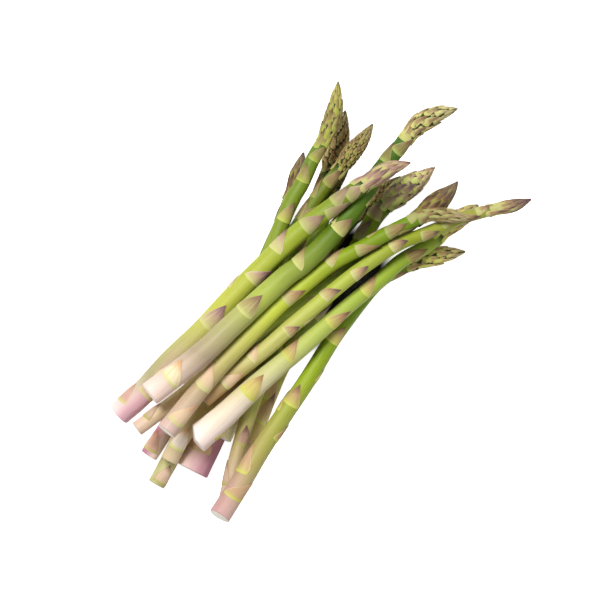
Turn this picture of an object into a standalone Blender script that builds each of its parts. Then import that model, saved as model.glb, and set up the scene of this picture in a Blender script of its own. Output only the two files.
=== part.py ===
"""A loose bunch of fourteen green asparagus spears, lying as they were put down on a table.

Every spear is one solid: a tapered stem, the bracts along it and the overlapping scales of its
head, fused together. Each spear follows its own route in plan, and its height comes from laying
it on the table and on the spears already there, so that it touches them and passes through none.
Metres, +Z up, the table at z = 0, the spears along +X with their tips towards +X.
"""

import math
from typing import NamedTuple

import bmesh
import bpy
import numpy as np
from mathutils import Vector
from mathutils.bvhtree import BVHTree

MM = 0.001

# Layout of the heap
LAYOUT_CENTRE = (5.86, -0.64)   # mm, the layout's point that becomes the origin
LAYOUT_TURN = math.radians(-52.0)   # the layout's spears point 52 degrees up from +X
TOUCH_GAP = 0.3 * MM            # left between spears that touch
PRESS = 0.3 * MM                # how deep the flat spots are where a spear rests on the table

# Spine of a spear
STATION_STEP = 0.8 * MM
STEM_RINGS = 7
HEAD_RINGS = (0.0, 0.45, 0.8, 1.0)   # of the head's length
BODY_SIDES = 8
TIP_RADIUS = 0.5 * MM
WELD = 0.01 * MM                # joins the tube's caps to its side
TRIM = 0.002 * MM               # the shortest edges go, once the spear lies in its place

# Bracts on the stem
FIRST_BRACT = 9.0 * MM
LAST_BRACT = 3.0 * MM           # at least this far below the head
LOW_SPACING = 32.0 * MM
HIGH_SPACING = 13.0 * MM
BRACT_WIDTH = 1.15              # of the stem's diameter there
BRACT_LENGTH = 1.15             # of the stem's diameter there
BRACT_THICK = 0.75 * MM
BRACT_LIFT = 0.1 * MM           # how far its tip stands off
WIDEST_WRAP = math.radians(75)  # a bract or scale reaches at most this far round to each side
GOLDEN_ANGLE = math.radians(137.508)

# Scales of the head
HEAD_SCALES = 13
HEAD_FULLEST = 0.4              # of the head's length
HEAD_TAPER = 2.0                # power of the taper above the fullest place
CORE_INSET = 0.9 * MM           # how far the core lies inside the head's outline
CORE_STEP = 4.0 * MM            # the stem narrows to the core over this length
HEAD_SPREAD = (-0.04, 0.88, 0.9)    # of the head's length: lowest and highest scale, and crowding
SCALE_WIDTH = 0.9               # of the head's diameter there
SCALE_LENGTH = (12.0 * MM, 7.5 * MM)    # at the foot of the head and at its tip
SCALE_THICK = 0.95 * MM
SCALE_LIFT = 0.25 * MM
OVERSHOOT = 1.5 * MM            # how far the last scales reach past the core's tip
ROOT_DEPTH = 1.6 * MM
AXIS_CLEAR = 0.2 * MM           # a root stays this far short of the centre line


class Spear(NamedTuple):
    """One spear: its plan route in mm, diameters and head length in mm, first bract's angle."""
    name: str
    butt: float
    middle: float
    neck: float
    head: float
    head_length: float
    turn: float
    colour: tuple
    route: tuple


# In the order in which they are laid. The route runs from the butt to the tip.
SPEARS = (
    Spear("spear_left_1", 9.6, 9.2, 8.0, 10.0, 27, 20, (0.33, 0.36, 0.12), (
        (-79, -101.5), (-65.5, -77.5), (-54, -55), (-40.5, -27.5), (-28, 0.5), (-16, 29), (-10.5, 41.5),
        (-4.2, 59), (-0.9, 70.5), (2, 81))),
    Spear("spear_left_3", 18.0, 12.5, 9.4, 13.6, 39, 75, (0.34, 0.31, 0.11), (
        (-59, -94), (-50.5, -77.5), (-41, -58), (-27.5, -28), (-14, -0.5), (-1, 27), (11, 56), (20, 83),
        (23, 95.5), (25, 104.5))),
    Spear("spear_mid_1", 9.0, 8.8, 8.2, 10.4, 33, 245, (0.25, 0.33, 0.07), (
        (-42, -76.5), (-31, -54.5), (-17.5, -29), (-1.5, -2), (12, 21), (20.5, 34.5), (27, 42.5),
        (33, 49), (40, 55), (46.5, 60.5), (55.5, 68))),
    Spear("spear_mid_2", 10.4, 10.4, 9.6, 14.8, 37, 310, (0.33, 0.36, 0.12), (
        (-33.5, -91), (-28.5, -78), (-23.3, -66), (-17, -51), (-10.7, -36.5), (-2, -22), (7, -8),
        (16.5, 5.5), (25.5, 18.5), (32, 29), (37, 38.5), (42.3, 46.7), (50.3, 54.8), (58.5, 61.2),
        (66.5, 66.5), (74, 72.5))),
    Spear("spear_left_5", 8.4, 8.6, 8.6, 10.0, 27, 160, (0.28, 0.37, 0.09), (
        (-40.5, -110.5), (-38, -100.5), (-32.5, -79), (-26, -57), (-15, -28.5), (-4, -0.5), (6.5, 27),
        (17, 59), (21.5, 70), (27.5, 83.5))),
    Spear("spear_left_4", 9.8, 8.6, 7.6, 11.0, 33, 35, (0.36, 0.36, 0.14), (
        (-83, -85.5), (-73.5, -71), (-55, -42.5), (-33, -8.5), (-16.5, 17), (2, 44.5), (13, 60),
        (21, 69.5), (27.5, 78.5), (34, 86.5), (40, 95.5))),
    Spear("spear_left_2", 9.9, 9.2, 7.8, 11.0, 37, 120, (0.36, 0.42, 0.11), (
        (-71.5, -88.5), (-64.5, -75.5), (-50.5, -56), (-38.5, -29.5), (-26, -1), (-10.3, 40),
        (-3.8, 54.5), (1, 62.5), (7.3, 76.3), (13.5, 87.2), (18.5, 100.5), (21, 118.5))),
    Spear("spear_mid_3", 8.2, 8.0, 7.8, 13.0, 31, 200, (0.30, 0.28, 0.09), (
        (-88.8, -71.5), (-66, -54.5), (-44, -37), (-22, -20.5), (0, -3.5), (22, 13.5), (38.5, 26),
        (55.5, 37.5), (68, 47), (81.5, 58.5), (86.5, 64.5))),
    Spear("spear_right", 12.2, 9.6, 8.2, 11.4, 31, 280, (0.32, 0.45, 0.08), (
        (-43.8, -119), (-31.3, -99), (-22, -83.5), (-10.5, -66), (4, -44.5), (17.5, -22.5), (29.5, -6),
        (40.5, 7.5), (49.5, 14.5), (59, 19), (69, 22.5), (80, 25), (91, 26.5))),
    Spear("spear_top_5", 15.2, 9.6, 8.2, 11.0, 29, 330, (0.48, 0.55, 0.22), (
        (-57, -78), (-41, -64), (-27.5, -51), (-11, -36.5), (0, -27.5), (14, -15), (27.5, -3),
        (44, 10.5), (55, 20.5), (69, 29), (82.5, 40.5), (98, 52))),
    Spear("spear_top_4", 9.4, 8.2, 6.4, 8.6, 24, 55, (0.45, 0.50, 0.17), (
        (-52.5, -55.5), (-36, -41.5), (-19.5, -28.5), (0, -11.5), (27.5, 11.5), (44, 23.5), (55, 30),
        (66, 34.5), (77, 39), (88, 43.7), (99, 46.9), (110, 49.4), (118.5, 51.4), (126.5, 54.4))),
    Spear("spear_top_3", 11.1, 9.0, 7.2, 9.0, 27, 95, (0.45, 0.52, 0.13), (
        (-72.5, -73), (-55, -51), (-44, -38), (-33, -26.5), (-22, -15), (-11, -4), (0, 5), (16.5, 18),
        (33, 27), (44, 33), (55, 39), (66, 44), (74.5, 45.5), (93.5, 43))),
    Spear("spear_top_1", 13.6, 12.2, 9.2, 11.0, 30, 150, (0.46, 0.52, 0.17), (
        (-99.3, -63), (-86, -51.5), (-70.3, -34.3), (-53, -17.7), (-37.7, -1), (-29, 8), (-20.8, 16.3),
        (-11, 26), (-0.5, 35.5), (11, 44.5), (27.5, 56.5), (36, 62), (44, 67), (49.5, 70), (60, 73))),
    Spear("spear_top_2", 13.4, 11.6, 8.4, 12.6, 34, 225, (0.47, 0.52, 0.20), (
        (-81.5, -53), (-54.5, -32), (-38, -16.5), (-10, 9.5), (1.2, 18), (12.2, 28.3), (28.3, 46.5),
        (36.5, 59), (46, 72.5), (54, 82), (62, 92.5), (70, 98), (77.5, 101.5), (86.5, 104))),
)

# Two spears lean on each other: the second's butt lies on the first, and the first's head, past
# this share of its length, lies back over the second.
LEANING = ("spear_top_1", "spear_top_2", 0.62)


class Spine:
    """The centre line of one spear, level at z = 0, with its outline along the way."""

    def __init__(self, spear):
        self.spear = spear
        points = [self.turned(x, y) for x, y in spear.route]
        fine = catmull_rom(np.array(points))
        run = np.concatenate([[0.0], np.cumsum(np.linalg.norm(np.diff(fine, axis=0), axis=1))])
        count = int(run[-1] / STATION_STEP) + 2
        self.station = np.linspace(0.0, run[-1], count)
        self.plan = np.stack([np.interp(self.station, run, fine[:, axis]) for axis in (0, 1)], axis=1)
        heading = np.gradient(self.plan, axis=0)
        self.heading = heading / np.linalg.norm(heading, axis=1)[:, None]
        self.length = run[-1]
        self.neck = self.length - spear.head_length * MM

    @staticmethod
    def turned(x, y):
        """A layout point in mm, as a plan position in metres."""
        x, y = (x - LAYOUT_CENTRE[0]) * MM, (y - LAYOUT_CENTRE[1]) * MM
        c, s = math.cos(LAYOUT_TURN), math.sin(LAYOUT_TURN)
        return c * x - s * y, s * x + c * y

    def outline(self, station):
        """Outer radius at a station: a gently tapering stem, then the head's full ovoid."""
        spear = self.spear
        if station <= self.neck:
            k = station / self.neck
            across = (spear.butt * (2 * k - 1) * (k - 1) + 4 * spear.middle * k * (1 - k)
                      + spear.neck * k * (2 * k - 1))
        else:
            k = min(1.0, (station - self.neck) / (spear.head_length * MM))
            if k < HEAD_FULLEST:
                across = spear.neck + (spear.head - spear.neck) * math.sin(k / HEAD_FULLEST * math.pi / 2)
            else:
                across = spear.head * (1 - ((k - HEAD_FULLEST) / (1 - HEAD_FULLEST)) ** HEAD_TAPER)
        return across * MM / 2

    def body_radius(self, station):
        """Radius of the stem, and of the smaller core inside the head."""
        inset = CORE_INSET * min(1.0, max(0.0, (station - self.neck) / CORE_STEP))
        return max(TIP_RADIUS, self.outline(station) - inset)

    def place(self, station, angle, height):
        """A point above the body's surface, at an angle round it from its right-hand side."""
        plan = [np.interp(station, self.station, self.plan[:, axis]) for axis in (0, 1)]
        heading = [np.interp(station, self.station, self.heading[:, axis]) for axis in (0, 1)]
        radius = self.body_radius(station) + height
        beside = Vector((heading[1], -heading[0], 0.0)) * math.cos(angle)
        return Vector((plan[0], plan[1], 0.0)) + (beside + Vector((0, 0, math.sin(angle)))) * radius


def catmull_rom(points, steps=16):
    """A smooth curve through the points, as closely spaced positions."""
    padded = np.vstack([2 * points[0] - points[1], points, 2 * points[-1] - points[-2]])
    t = np.linspace(0.0, 1.0, steps, endpoint=False)[:, None]
    runs = []
    for a, b, c, d in zip(padded, padded[1:], padded[2:], padded[3:]):
        runs.append(0.5 * (2 * b + (c - a) * t + (2 * a - 5 * b + 4 * c - d) * t ** 2
                           + (3 * b - a - 3 * c + d) * t ** 3))
    return np.vstack(runs + [points[-1:]])


def material_for(spear):
    """The spear's own skin, plain here."""
    material = bpy.data.materials.new(spear.name + "_skin")
    material.use_nodes = True
    shader = material.node_tree.nodes["Principled BSDF"]
    shader.inputs["Base Color"].default_value = (*spear.colour, 1.0)
    shader.inputs["Roughness"].default_value = 0.45
    shader.inputs["Metallic"].default_value = 0.0
    return material


def make_body(spine, collection):
    """Stem and core as one tapered tube along the route, closed at both ends."""
    data = bpy.data.curves.new(spine.spear.name, "CURVE")
    data.dimensions = "3D"
    data.twist_mode = "Z_UP"
    data.bevel_depth = 1.0
    data.bevel_resolution = BODY_SIDES // 2 - 2
    data.render_resolution_u = 0
    data.use_fill_caps = True
    stations = [spine.neck * i / STEM_RINGS for i in range(STEM_RINGS)]
    stations += [spine.neck + (spine.length - spine.neck) * k for k in HEAD_RINGS]
    spline = data.splines.new("POLY")
    spline.points.add(len(stations) - 1)
    for point, station in zip(spline.points, stations):
        x, y = (np.interp(station, spine.station, spine.plan[:, axis]) for axis in (0, 1))
        point.co = (x, y, 0.0, 1.0)
        point.radius = spine.body_radius(station)
        point.tilt = math.pi / BODY_SIDES
    tube = bpy.data.objects.new(spine.spear.name + "_tube", data)
    collection.objects.link(tube)
    bpy.context.view_layer.update()
    mesh = bpy.data.meshes.new_from_object(tube.evaluated_get(bpy.context.evaluated_depsgraph_get()))
    bpy.data.objects.remove(tube)
    bpy.data.curves.remove(data)
    bm = bmesh.new()
    bm.from_mesh(mesh)
    bmesh.ops.remove_doubles(bm, verts=bm.verts, dist=WELD)
    bmesh.ops.recalc_face_normals(bm, faces=bm.faces)
    bm.to_mesh(mesh)
    bm.free()
    body = bpy.data.objects.new(spine.spear.name, mesh)
    collection.objects.link(body)
    return body


def make_scale(spine, station, angle, width, length, thick, lift, collection):
    """One pointed scale: a shield hugging the stem, its root sunk in, its tip a little clear."""
    half_turn = min(WIDEST_WRAP, width / 2 / (spine.body_radius(station) + thick))
    reach = min(length, spine.length + OVERSHOOT - station)
    outline = (                     # along and across, as parts of the reach and half width; height
        (0.0, -1.0, 0.25 * thick), (-0.05, 0.0, thick), (0.0, 1.0, 0.25 * thick),
        (0.45, -0.72, 0.3 * thick), (0.45, 0.72, 0.3 * thick),
        (1.0, 0.0, 0.4 * thick + lift), (0.25, 0.0, -ROOT_DEPTH),
    )
    bm = bmesh.new()
    for along, across, height in outline:
        deep = max(height, AXIS_CLEAR - spine.body_radius(station + along * reach))
        bm.verts.new(spine.place(station + along * reach, angle + across * half_turn, deep))
    hull = bmesh.ops.convex_hull(bm, input=bm.verts)
    unused = {item for item in hull["geom_interior"] + hull["geom_unused"]
              if isinstance(item, bmesh.types.BMVert)}
    bmesh.ops.delete(bm, geom=list(unused), context="VERTS")
    bmesh.ops.recalc_face_normals(bm, faces=bm.faces)
    mesh = bpy.data.meshes.new(spine.spear.name + "_scale")
    bm.to_mesh(mesh)
    bm.free()
    collection.objects.link(bpy.data.objects.new(mesh.name, mesh))


def add_scales(spine, collection):
    """Bracts up the stem and scales over the head, each a golden angle on from the last."""
    angle = math.radians(spine.spear.turn)
    station = FIRST_BRACT
    while station < spine.neck - LAST_BRACT:
        across = 2 * spine.outline(station)
        make_scale(spine, station, angle, BRACT_WIDTH * across, BRACT_LENGTH * across, BRACT_THICK,
                   BRACT_LIFT, collection)
        climb = station / spine.neck
        station += LOW_SPACING + (HIGH_SPACING - LOW_SPACING) * climb
        angle += GOLDEN_ANGLE
    head = spine.length - spine.neck
    lowest, highest, crowding = HEAD_SPREAD
    for i in range(HEAD_SCALES):
        k = i / HEAD_SCALES
        station = spine.neck + head * (lowest + (highest - lowest) * k ** crowding)
        across = 2 * spine.outline(station)
        length = SCALE_LENGTH[0] + (SCALE_LENGTH[1] - SCALE_LENGTH[0]) * k
        make_scale(spine, station, angle, SCALE_WIDTH * across, length, SCALE_THICK, SCALE_LIFT, collection)
        angle += GOLDEN_ANGLE


def fuse(body, scales):
    """Join the scales to the body in one union, then drop them."""
    union = body.modifiers.new("Fuse", "BOOLEAN")
    union.operation = "UNION"
    union.operand_type = "COLLECTION"
    union.collection = scales
    union.solver = "EXACT"
    bpy.context.view_layer.update()
    joined = bpy.data.meshes.new_from_object(body.evaluated_get(bpy.context.evaluated_depsgraph_get()))
    body.modifiers.clear()
    plain = body.data
    body.data = joined
    bpy.data.meshes.remove(plain)
    drop_crumbs(joined)
    for scale in list(scales.objects):
        bpy.data.objects.remove(scale)


def drop_crumbs(mesh):
    """Keep the one large shell: the tiny pockets left between deep roots are filled in."""
    bm = bmesh.new()
    bm.from_mesh(mesh)
    unseen = set(bm.verts)
    shells = []
    while unseen:
        front = [unseen.pop()]
        shell = set(front)
        while front:
            beyond = {edge.other_vert(vertex) for vertex in front for edge in vertex.link_edges} - shell
            shell |= beyond
            unseen -= beyond
            front = list(beyond)
        shells.append(shell)
    shells.sort(key=len)
    bmesh.ops.delete(bm, geom=[vertex for shell in shells[:-1] for vertex in shell], context="VERTS")
    bm.to_mesh(mesh)
    bm.free()


class Heap:
    """The table and the spears laid on it so far, compared cell by cell in plan."""

    CELL = 0.4 * MM
    HALF = 150 * MM
    NEIGHBOURS = ((0, 0), (1, 0), (-1, 0), (0, 1), (0, -1))
    STEEPEST = 0.25
    MOST_BOW = 3.0 * MM             # a spear's own bend, up or down, over half its length
    BOW_COST = 0.2                  # how much a spear would rather lie straight
    TILT_COST = 100 * MM            # and level
    TRIALS = (501, 13)              # slopes and bows tried for a spear laid alone
    PAIR_TRIALS = (51, 5)           # and for each of two laid together

    def __init__(self):
        self.spines = {}
        self.samples = {}
        self.heights = {}

    def measure(self, spine, mesh):
        """Nearest station, top and underside of a level spear, for every cell under it."""
        name = spine.spear.name
        bm = bmesh.new()
        bm.from_mesh(mesh)
        tree = BVHTree.FromBMesh(bm)
        bm.free()
        reach = max(spine.spear.butt, spine.spear.head) * MM / 2 + BRACT_THICK + SCALE_THICK
        offsets = np.arange(-reach, reach, self.CELL / 2)
        beyond = spine.plan[-1] + spine.heading[-1] * STATION_STEP * np.arange(1, 4)[:, None]
        plan = np.vstack([spine.plan, beyond])
        heading = np.vstack([spine.heading, np.repeat(spine.heading[-1:], 3, axis=0)])
        aside = np.stack([heading[:, 1], -heading[:, 0]], axis=1)
        spots = plan[:, None] + aside[:, None] * offsets[None, :, None]
        cells = np.unique((spots.reshape(-1, 2) / self.CELL).round().astype(int), axis=0)
        rows = []
        for cell in cells:
            x, y = cell * self.CELL
            top = tree.ray_cast(Vector((x, y, 1.0)), Vector((0, 0, -1)))[0]
            if top is not None:
                low = tree.ray_cast(Vector((x, y, -1.0)), Vector((0, 0, 1)))[0]
                station = np.argmin((spine.plan[:, 0] - x) ** 2 + (spine.plan[:, 1] - y) ** 2)
                rows.append((*cell, station, top.z, low.z))
        rows = np.array(rows)
        self.spines[name] = spine
        self.samples[name] = (rows[:, :2].astype(int), rows[:, 2].astype(int), rows[:, 3], rows[:, 4])

    def meetings(self, upper, lower):
        """Where one spear lies over another: both stations, and the rise that clears it."""
        cells, station, _, low = self.samples[upper]
        others, other_station, top, _ = self.samples[lower]
        size = int(2 * self.HALF / self.CELL)
        grid = np.full((size, size), -1)
        grid[others[:, 0] + size // 2, others[:, 1] + size // 2] = np.arange(len(others))
        found = []
        for dx, dy in self.NEIGHBOURS:
            hit = grid[cells[:, 0] + dx + size // 2, cells[:, 1] + dy + size // 2]
            here = np.flatnonzero(hit >= 0)
            there = hit[here]
            found.append(np.stack([station[here], other_station[there],
                                   top[there] - low[here] + TOUCH_GAP]))
        found = np.hstack(found)
        return found[0].astype(int), found[1].astype(int), found[2]

    def needed(self, name):
        """The least height of a spear's centre line at each station, over the table and others."""
        _, station, _, low = self.samples[name]
        need = np.full(len(self.spines[name].station), -1.0)
        np.maximum.at(need, station, -low - PRESS)
        for other in self.heights:
            mine, theirs, rise = self.meetings(name, other)
            np.maximum.at(need, mine, self.heights[other][theirs] + rise)
        return need

    def shapes(self, name, slopes, bows):
        """Tilted and slightly bowed centre lines about the spear's balance, each of mean height 0."""
        spine = self.spines[name]
        _, station, top, low = self.samples[name]
        offset = spine.station - np.average(spine.station[station], weights=top - low)
        curl = (2 * offset / spine.length) ** 2 - 1 / 3
        tilt = np.linspace(-self.STEEPEST, self.STEEPEST, slopes)
        bend = np.linspace(-self.MOST_BOW, self.MOST_BOW, bows)
        lines = tilt[:, None, None] * offset + bend[None, :, None] * curl
        cost = self.BOW_COST * np.abs(bend) + self.TILT_COST * tilt[:, None] ** 2
        return lines.reshape(-1, len(offset)), cost.ravel()

    def lay(self, name):
        """Lower a spear as far as it goes, free to tilt and to have a slight bow of its own."""
        need = self.needed(name)
        lines, cost = self.shapes(name, *self.TRIALS)
        level = (need - lines).max(axis=1)
        best = int(np.argmin(level + cost))
        self.heights[name] = lines[best] + level[best]

    def lay_leaning(self, first, second, share):
        """Lower two spears together, of which each lies partly on the other."""
        over = self.spines[first].length * share
        mine, theirs, rise = self.meetings(second, first)
        early = self.spines[first].station[theirs] < over
        on_first, under, gap_up = mine[early], theirs[early], rise[early]
        mine, theirs, rise = self.meetings(first, second)
        late = self.spines[first].station[mine] >= over
        on_second, beneath, gap_down = mine[late], theirs[late], rise[late]
        one_lines, one_cost = self.shapes(first, *self.PAIR_TRIALS)
        two_lines, two_cost = self.shapes(second, *self.PAIR_TRIALS)
        one_level = (self.needed(first) - one_lines).max(axis=1)
        two_level = (self.needed(second) - two_lines).max(axis=1)
        best = None
        for one, level, cost in zip(one_lines, one_level, one_cost):
            lift = (gap_up + one[under] - two_lines[:, on_first]).max(axis=1)
            fall = (gap_down - one[on_second] + two_lines[:, beneath]).max(axis=1)
            second_level = np.maximum(two_level, level + lift)
            first_level = np.maximum(level, second_level + fall)
            total = np.where(lift + fall <= 0, first_level + second_level + cost + two_cost, np.inf)
            pick = int(np.argmin(total))
            if best is None or total[pick] < best[0]:
                best = (total[pick], one + first_level[pick], two_lines[pick] + second_level[pick])
        self.heights[first], self.heights[second] = best[1], best[2]


def raise_to(mesh, spine, heights):
    """Move a level spear's points up to its resting heights."""
    for vertex in mesh.vertices:
        gap = np.linalg.norm(spine.plan - np.array(vertex.co[:2]), axis=1)
        vertex.co.z += heights[int(np.argmin(gap))]


def press_flat(mesh):
    """Trim what reaches below the table, which leaves small flat spots to rest on."""
    bm = bmesh.new()
    bm.from_mesh(mesh)
    if min(vertex.co.z for vertex in bm.verts) < 0:
        cut = bmesh.ops.bisect_plane(bm, geom=bm.verts[:] + bm.edges[:] + bm.faces[:], dist=TRIM / 2,
                                     plane_co=(0, 0, 0), plane_no=(0, 0, -1), clear_outer=True)
        rim = [item for item in cut["geom_cut"] if isinstance(item, bmesh.types.BMEdge)]
        bmesh.ops.holes_fill(bm, edges=rim, sides=0)
    bmesh.ops.remove_doubles(bm, verts=bm.verts, dist=TRIM)
    bmesh.ops.triangulate(bm, faces=bm.faces)
    bm.to_mesh(mesh)
    bm.free()


def clear_scene():
    """Start from nothing."""
    for thing in list(bpy.data.objects):
        bpy.data.objects.remove(thing)


def main():
    """Grow the spears, lay them in order and set them on the table."""
    clear_scene()
    bunch = bpy.data.collections.new("asparagus_bunch")
    scales = bpy.data.collections.new("loose_scales")
    for collection in (bunch, scales):
        bpy.context.scene.collection.children.link(collection)
    heap = Heap()
    bodies = {}
    for spear in SPEARS:
        spine = Spine(spear)
        body = make_body(spine, bunch)
        add_scales(spine, scales)
        fuse(body, scales)
        body.data.materials.clear()
        body.data.materials.append(material_for(spear))
        bodies[spear.name] = body
        heap.measure(spine, body.data)
        if spear.name not in LEANING:
            heap.lay(spear.name)
    bpy.data.collections.remove(scales)
    heap.lay_leaning(*LEANING)

    for name, body in bodies.items():
        raise_to(body.data, heap.spines[name], heap.heights[name])
        press_flat(body.data)
        body.data.shade_smooth()
        body.data.set_sharp_from_angle(angle=math.radians(30))


main()
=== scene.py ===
"""The looks of a loose bunch of green asparagus lying on a pale table.

Every spear is grown by one Geometry Nodes tree along its own spine: a stem swept from the cut butt
to the tip, the three-cornered bracts up the stem, and the overlapping scales and the buds of the
head. Bracts, scales and buds are slabs of one kind, set out by a rule, cut to a point and bent
round the stem. The colours come from two node groups, which read where a point lies along the
spear, round it and on its own blade.
"""

import logging
import math
from dataclasses import dataclass, replace
from enum import Enum

import bmesh
import bpy
import numpy as np
from mathutils import Matrix, Vector

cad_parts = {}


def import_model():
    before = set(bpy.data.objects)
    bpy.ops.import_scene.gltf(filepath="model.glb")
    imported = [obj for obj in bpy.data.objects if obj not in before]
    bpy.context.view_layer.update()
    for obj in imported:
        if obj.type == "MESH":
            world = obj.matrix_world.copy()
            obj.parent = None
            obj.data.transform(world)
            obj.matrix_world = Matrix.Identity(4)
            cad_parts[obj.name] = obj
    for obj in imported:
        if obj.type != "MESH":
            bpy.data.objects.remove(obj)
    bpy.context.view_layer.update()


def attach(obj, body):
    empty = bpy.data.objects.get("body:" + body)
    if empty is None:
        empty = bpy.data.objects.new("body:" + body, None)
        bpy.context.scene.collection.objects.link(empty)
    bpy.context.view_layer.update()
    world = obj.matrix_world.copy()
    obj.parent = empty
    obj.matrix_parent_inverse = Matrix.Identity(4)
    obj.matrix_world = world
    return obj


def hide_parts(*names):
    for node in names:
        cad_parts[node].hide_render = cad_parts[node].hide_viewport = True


MM = 0.001
GOLDEN_ANGLE = 137.508
LOG = logging.getLogger("asparagus")

Colour = tuple[float, float, float, float]
Point = tuple[float, float]
Pair = tuple[float, float]
Grain = tuple[float, float, float]
Bract = tuple[float, float, float, float]
Socket = bpy.types.NodeSocket

WHITE: Colour = (1.0, 1.0, 1.0, 1.0)


def paint(code: str) -> Colour:
    """A colour as shaders take it, by the usual screen curve.

    Args:
        code: the colour's six-letter code.

    Returns:
        Its linear red, green and blue, and a full alpha.
    """
    parts = [int(code[i:i + 2], 16) / 255 for i in (0, 2, 4)]
    linear = [c / 12.92 if c <= 0.04045 else ((c + 0.055) / 1.055) ** 2.4 for c in parts]
    return (linear[0], linear[1], linear[2], 1.0)


def through(low: float, halfway: float, high: float, k: float) -> float:
    """A value from low over halfway to high, on one smooth arc, where k runs from 0 to 1."""
    return low * (2 * k - 1) * (k - 1) + 4 * halfway * k * (1 - k) + high * k * (2 * k - 1)


class Kind(Enum):
    """The kinds of node tree that are built here."""
    SHADER = "ShaderNodeTree"
    GEOMETRY = "GeometryNodeTree"


class Tree:
    """A node tree under construction, with short ways to add nodes and to join their sockets."""

    def __init__(self, tree: bpy.types.NodeTree, given: object = None,
                 result: object = None) -> None:
        """Work on an existing tree, and on what a group is given and on its result."""
        self.tree, self.given, self.result = tree, given, result
        self.prefix = "ShaderNode" if tree.bl_idname == Kind.SHADER.value else "GeometryNode"

    @classmethod
    def group(cls, name: str, kind: Kind, inputs: dict[str, tuple],
              outputs: dict[str, str]) -> "Tree":
        """Start a node group.

        Args:
            name: the group's name.
            kind: shader or geometry.
            inputs: socket name to its type, with the kind of measure behind it, and its default.
            outputs: socket name to its type.

        Returns:
            The tree, with the sockets that it is given and those of its result.
        """
        tree = bpy.data.node_groups.new(name, kind.value)
        for socket, (what, *default) in inputs.items():
            what, _, measure = what.partition(" ")
            entry = tree.interface.new_socket(socket, in_out="INPUT",
                                              socket_type="NodeSocket" + what)
            if measure:
                entry.subtype = measure.upper()
            if default:
                entry.default_value = default[0]
        for socket, what in outputs.items():
            tree.interface.new_socket(socket, in_out="OUTPUT", socket_type="NodeSocket" + what)
        return cls(tree, tree.nodes.new("NodeGroupInput").outputs,
                   tree.nodes.new("NodeGroupOutput").inputs)

    def join(self, value: object, socket: Socket) -> None:
        """Link a socket to another, or set it to a plain value.

        Args:
            value: the socket to link from, or the value.
            socket: the socket that takes it.
        """
        if isinstance(value, Socket):
            self.tree.links.new(value, socket)
        else:
            socket.default_value = value

    def feed(self, node: bpy.types.Node, inputs: dict) -> None:
        """Give a node's inputs, by name or number, their values or another node's sockets."""
        for key, value in inputs.items():
            self.join(value, node.inputs[key])

    def add(self, kind: str, inputs: dict | None = None, **settings: object) -> bpy.types.Node:
        """Add a node.

        Args:
            kind: the node's type, in full, or without the tree's own prefix.
            inputs: socket name or number to a value or another socket.
            settings: the node's own properties.

        Returns:
            The new node.
        """
        known = kind.startswith(("ShaderNode", "GeometryNode", "FunctionNode"))
        node = self.tree.nodes.new(kind if known else self.prefix + kind)
        for key, value in settings.items():
            setattr(node, key, value)
        self.feed(node, inputs or {})
        return node

    def out(self, kind: str, inputs: dict | None = None, **settings: object) -> Socket:
        """The first output of a new node."""
        return self.add(kind, inputs, **settings).outputs[0]

    def math(self, operation: str, *values: object) -> Socket:
        """The result of a Math node."""
        return self.out("ShaderNodeMath", dict(enumerate(values)), operation=operation)

    def plus(self, first: object, second: object) -> Socket:
        """The sum of two numbers."""
        return self.math("ADD", first, second)

    def minus(self, first: object, second: object) -> Socket:
        """The first number less the second."""
        return self.math("SUBTRACT", first, second)

    def times(self, first: object, second: object) -> Socket:
        """The product of two numbers."""
        return self.math("MULTIPLY", first, second)

    def times_plus(self, first: object, second: object, third: object) -> Socket:
        """The product of two numbers, and the third added to it."""
        return self.math("MULTIPLY_ADD", first, second, third)

    def over(self, first: object, second: object) -> Socket:
        """The first number divided by the second."""
        return self.math("DIVIDE", first, second)

    def power(self, first: object, second: object) -> Socket:
        """The first number to the power of the second."""
        return self.math("POWER", first, second)

    def most(self, first: object, second: object) -> Socket:
        """The greater of two numbers."""
        return self.math("MAXIMUM", first, second)

    def least(self, first: object, second: object) -> Socket:
        """The smaller of two numbers."""
        return self.math("MINIMUM", first, second)

    def vector(self, operation: str, *values: object) -> Socket:
        """The result of a Vector Math node.

        Args:
            operation: the node's operation.
            values: its operands, the number last for a scaling.

        Returns:
            The resulting vector, or the number where the operation gives one.
        """
        node = self.add("ShaderNodeVectorMath", operation=operation)
        for i, value in enumerate(values):
            scaled = operation == "SCALE" and i == 1
            self.join(value, node.inputs["Scale" if scaled else i])
        numeric = operation in ("DOT_PRODUCT", "LENGTH", "DISTANCE")
        return node.outputs["Value" if numeric else "Vector"]

    def combine(self, x: object, y: object, z: object) -> Socket:
        """A vector of three numbers."""
        return self.out("ShaderNodeCombineXYZ", {0: x, 1: y, 2: z})

    def parts(self, vector: Socket) -> list[Socket]:
        """The three numbers of a vector."""
        return list(self.add("ShaderNodeSeparateXYZ", {0: vector}).outputs)

    def ramp(self, value: object, low: object, high: object, smooth: bool = True) -> Socket:
        """A value's place between two limits.

        Args:
            value: the value.
            low: where the result is 0.
            high: where the result is 1, below low where that is the greater.
            smooth: eases the result in and out.

        Returns:
            A number from 0 to 1.
        """
        flip = not isinstance(low, Socket) and low > high
        start, end = (high, low) if flip else (low, high)
        node = self.add("ShaderNodeMapRange", {0: value, 1: start, 2: end,
                                               3: float(flip), 4: float(not flip)},
                        interpolation_type="SMOOTHSTEP" if smooth else "LINEAR")
        return node.outputs[0]

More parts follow.
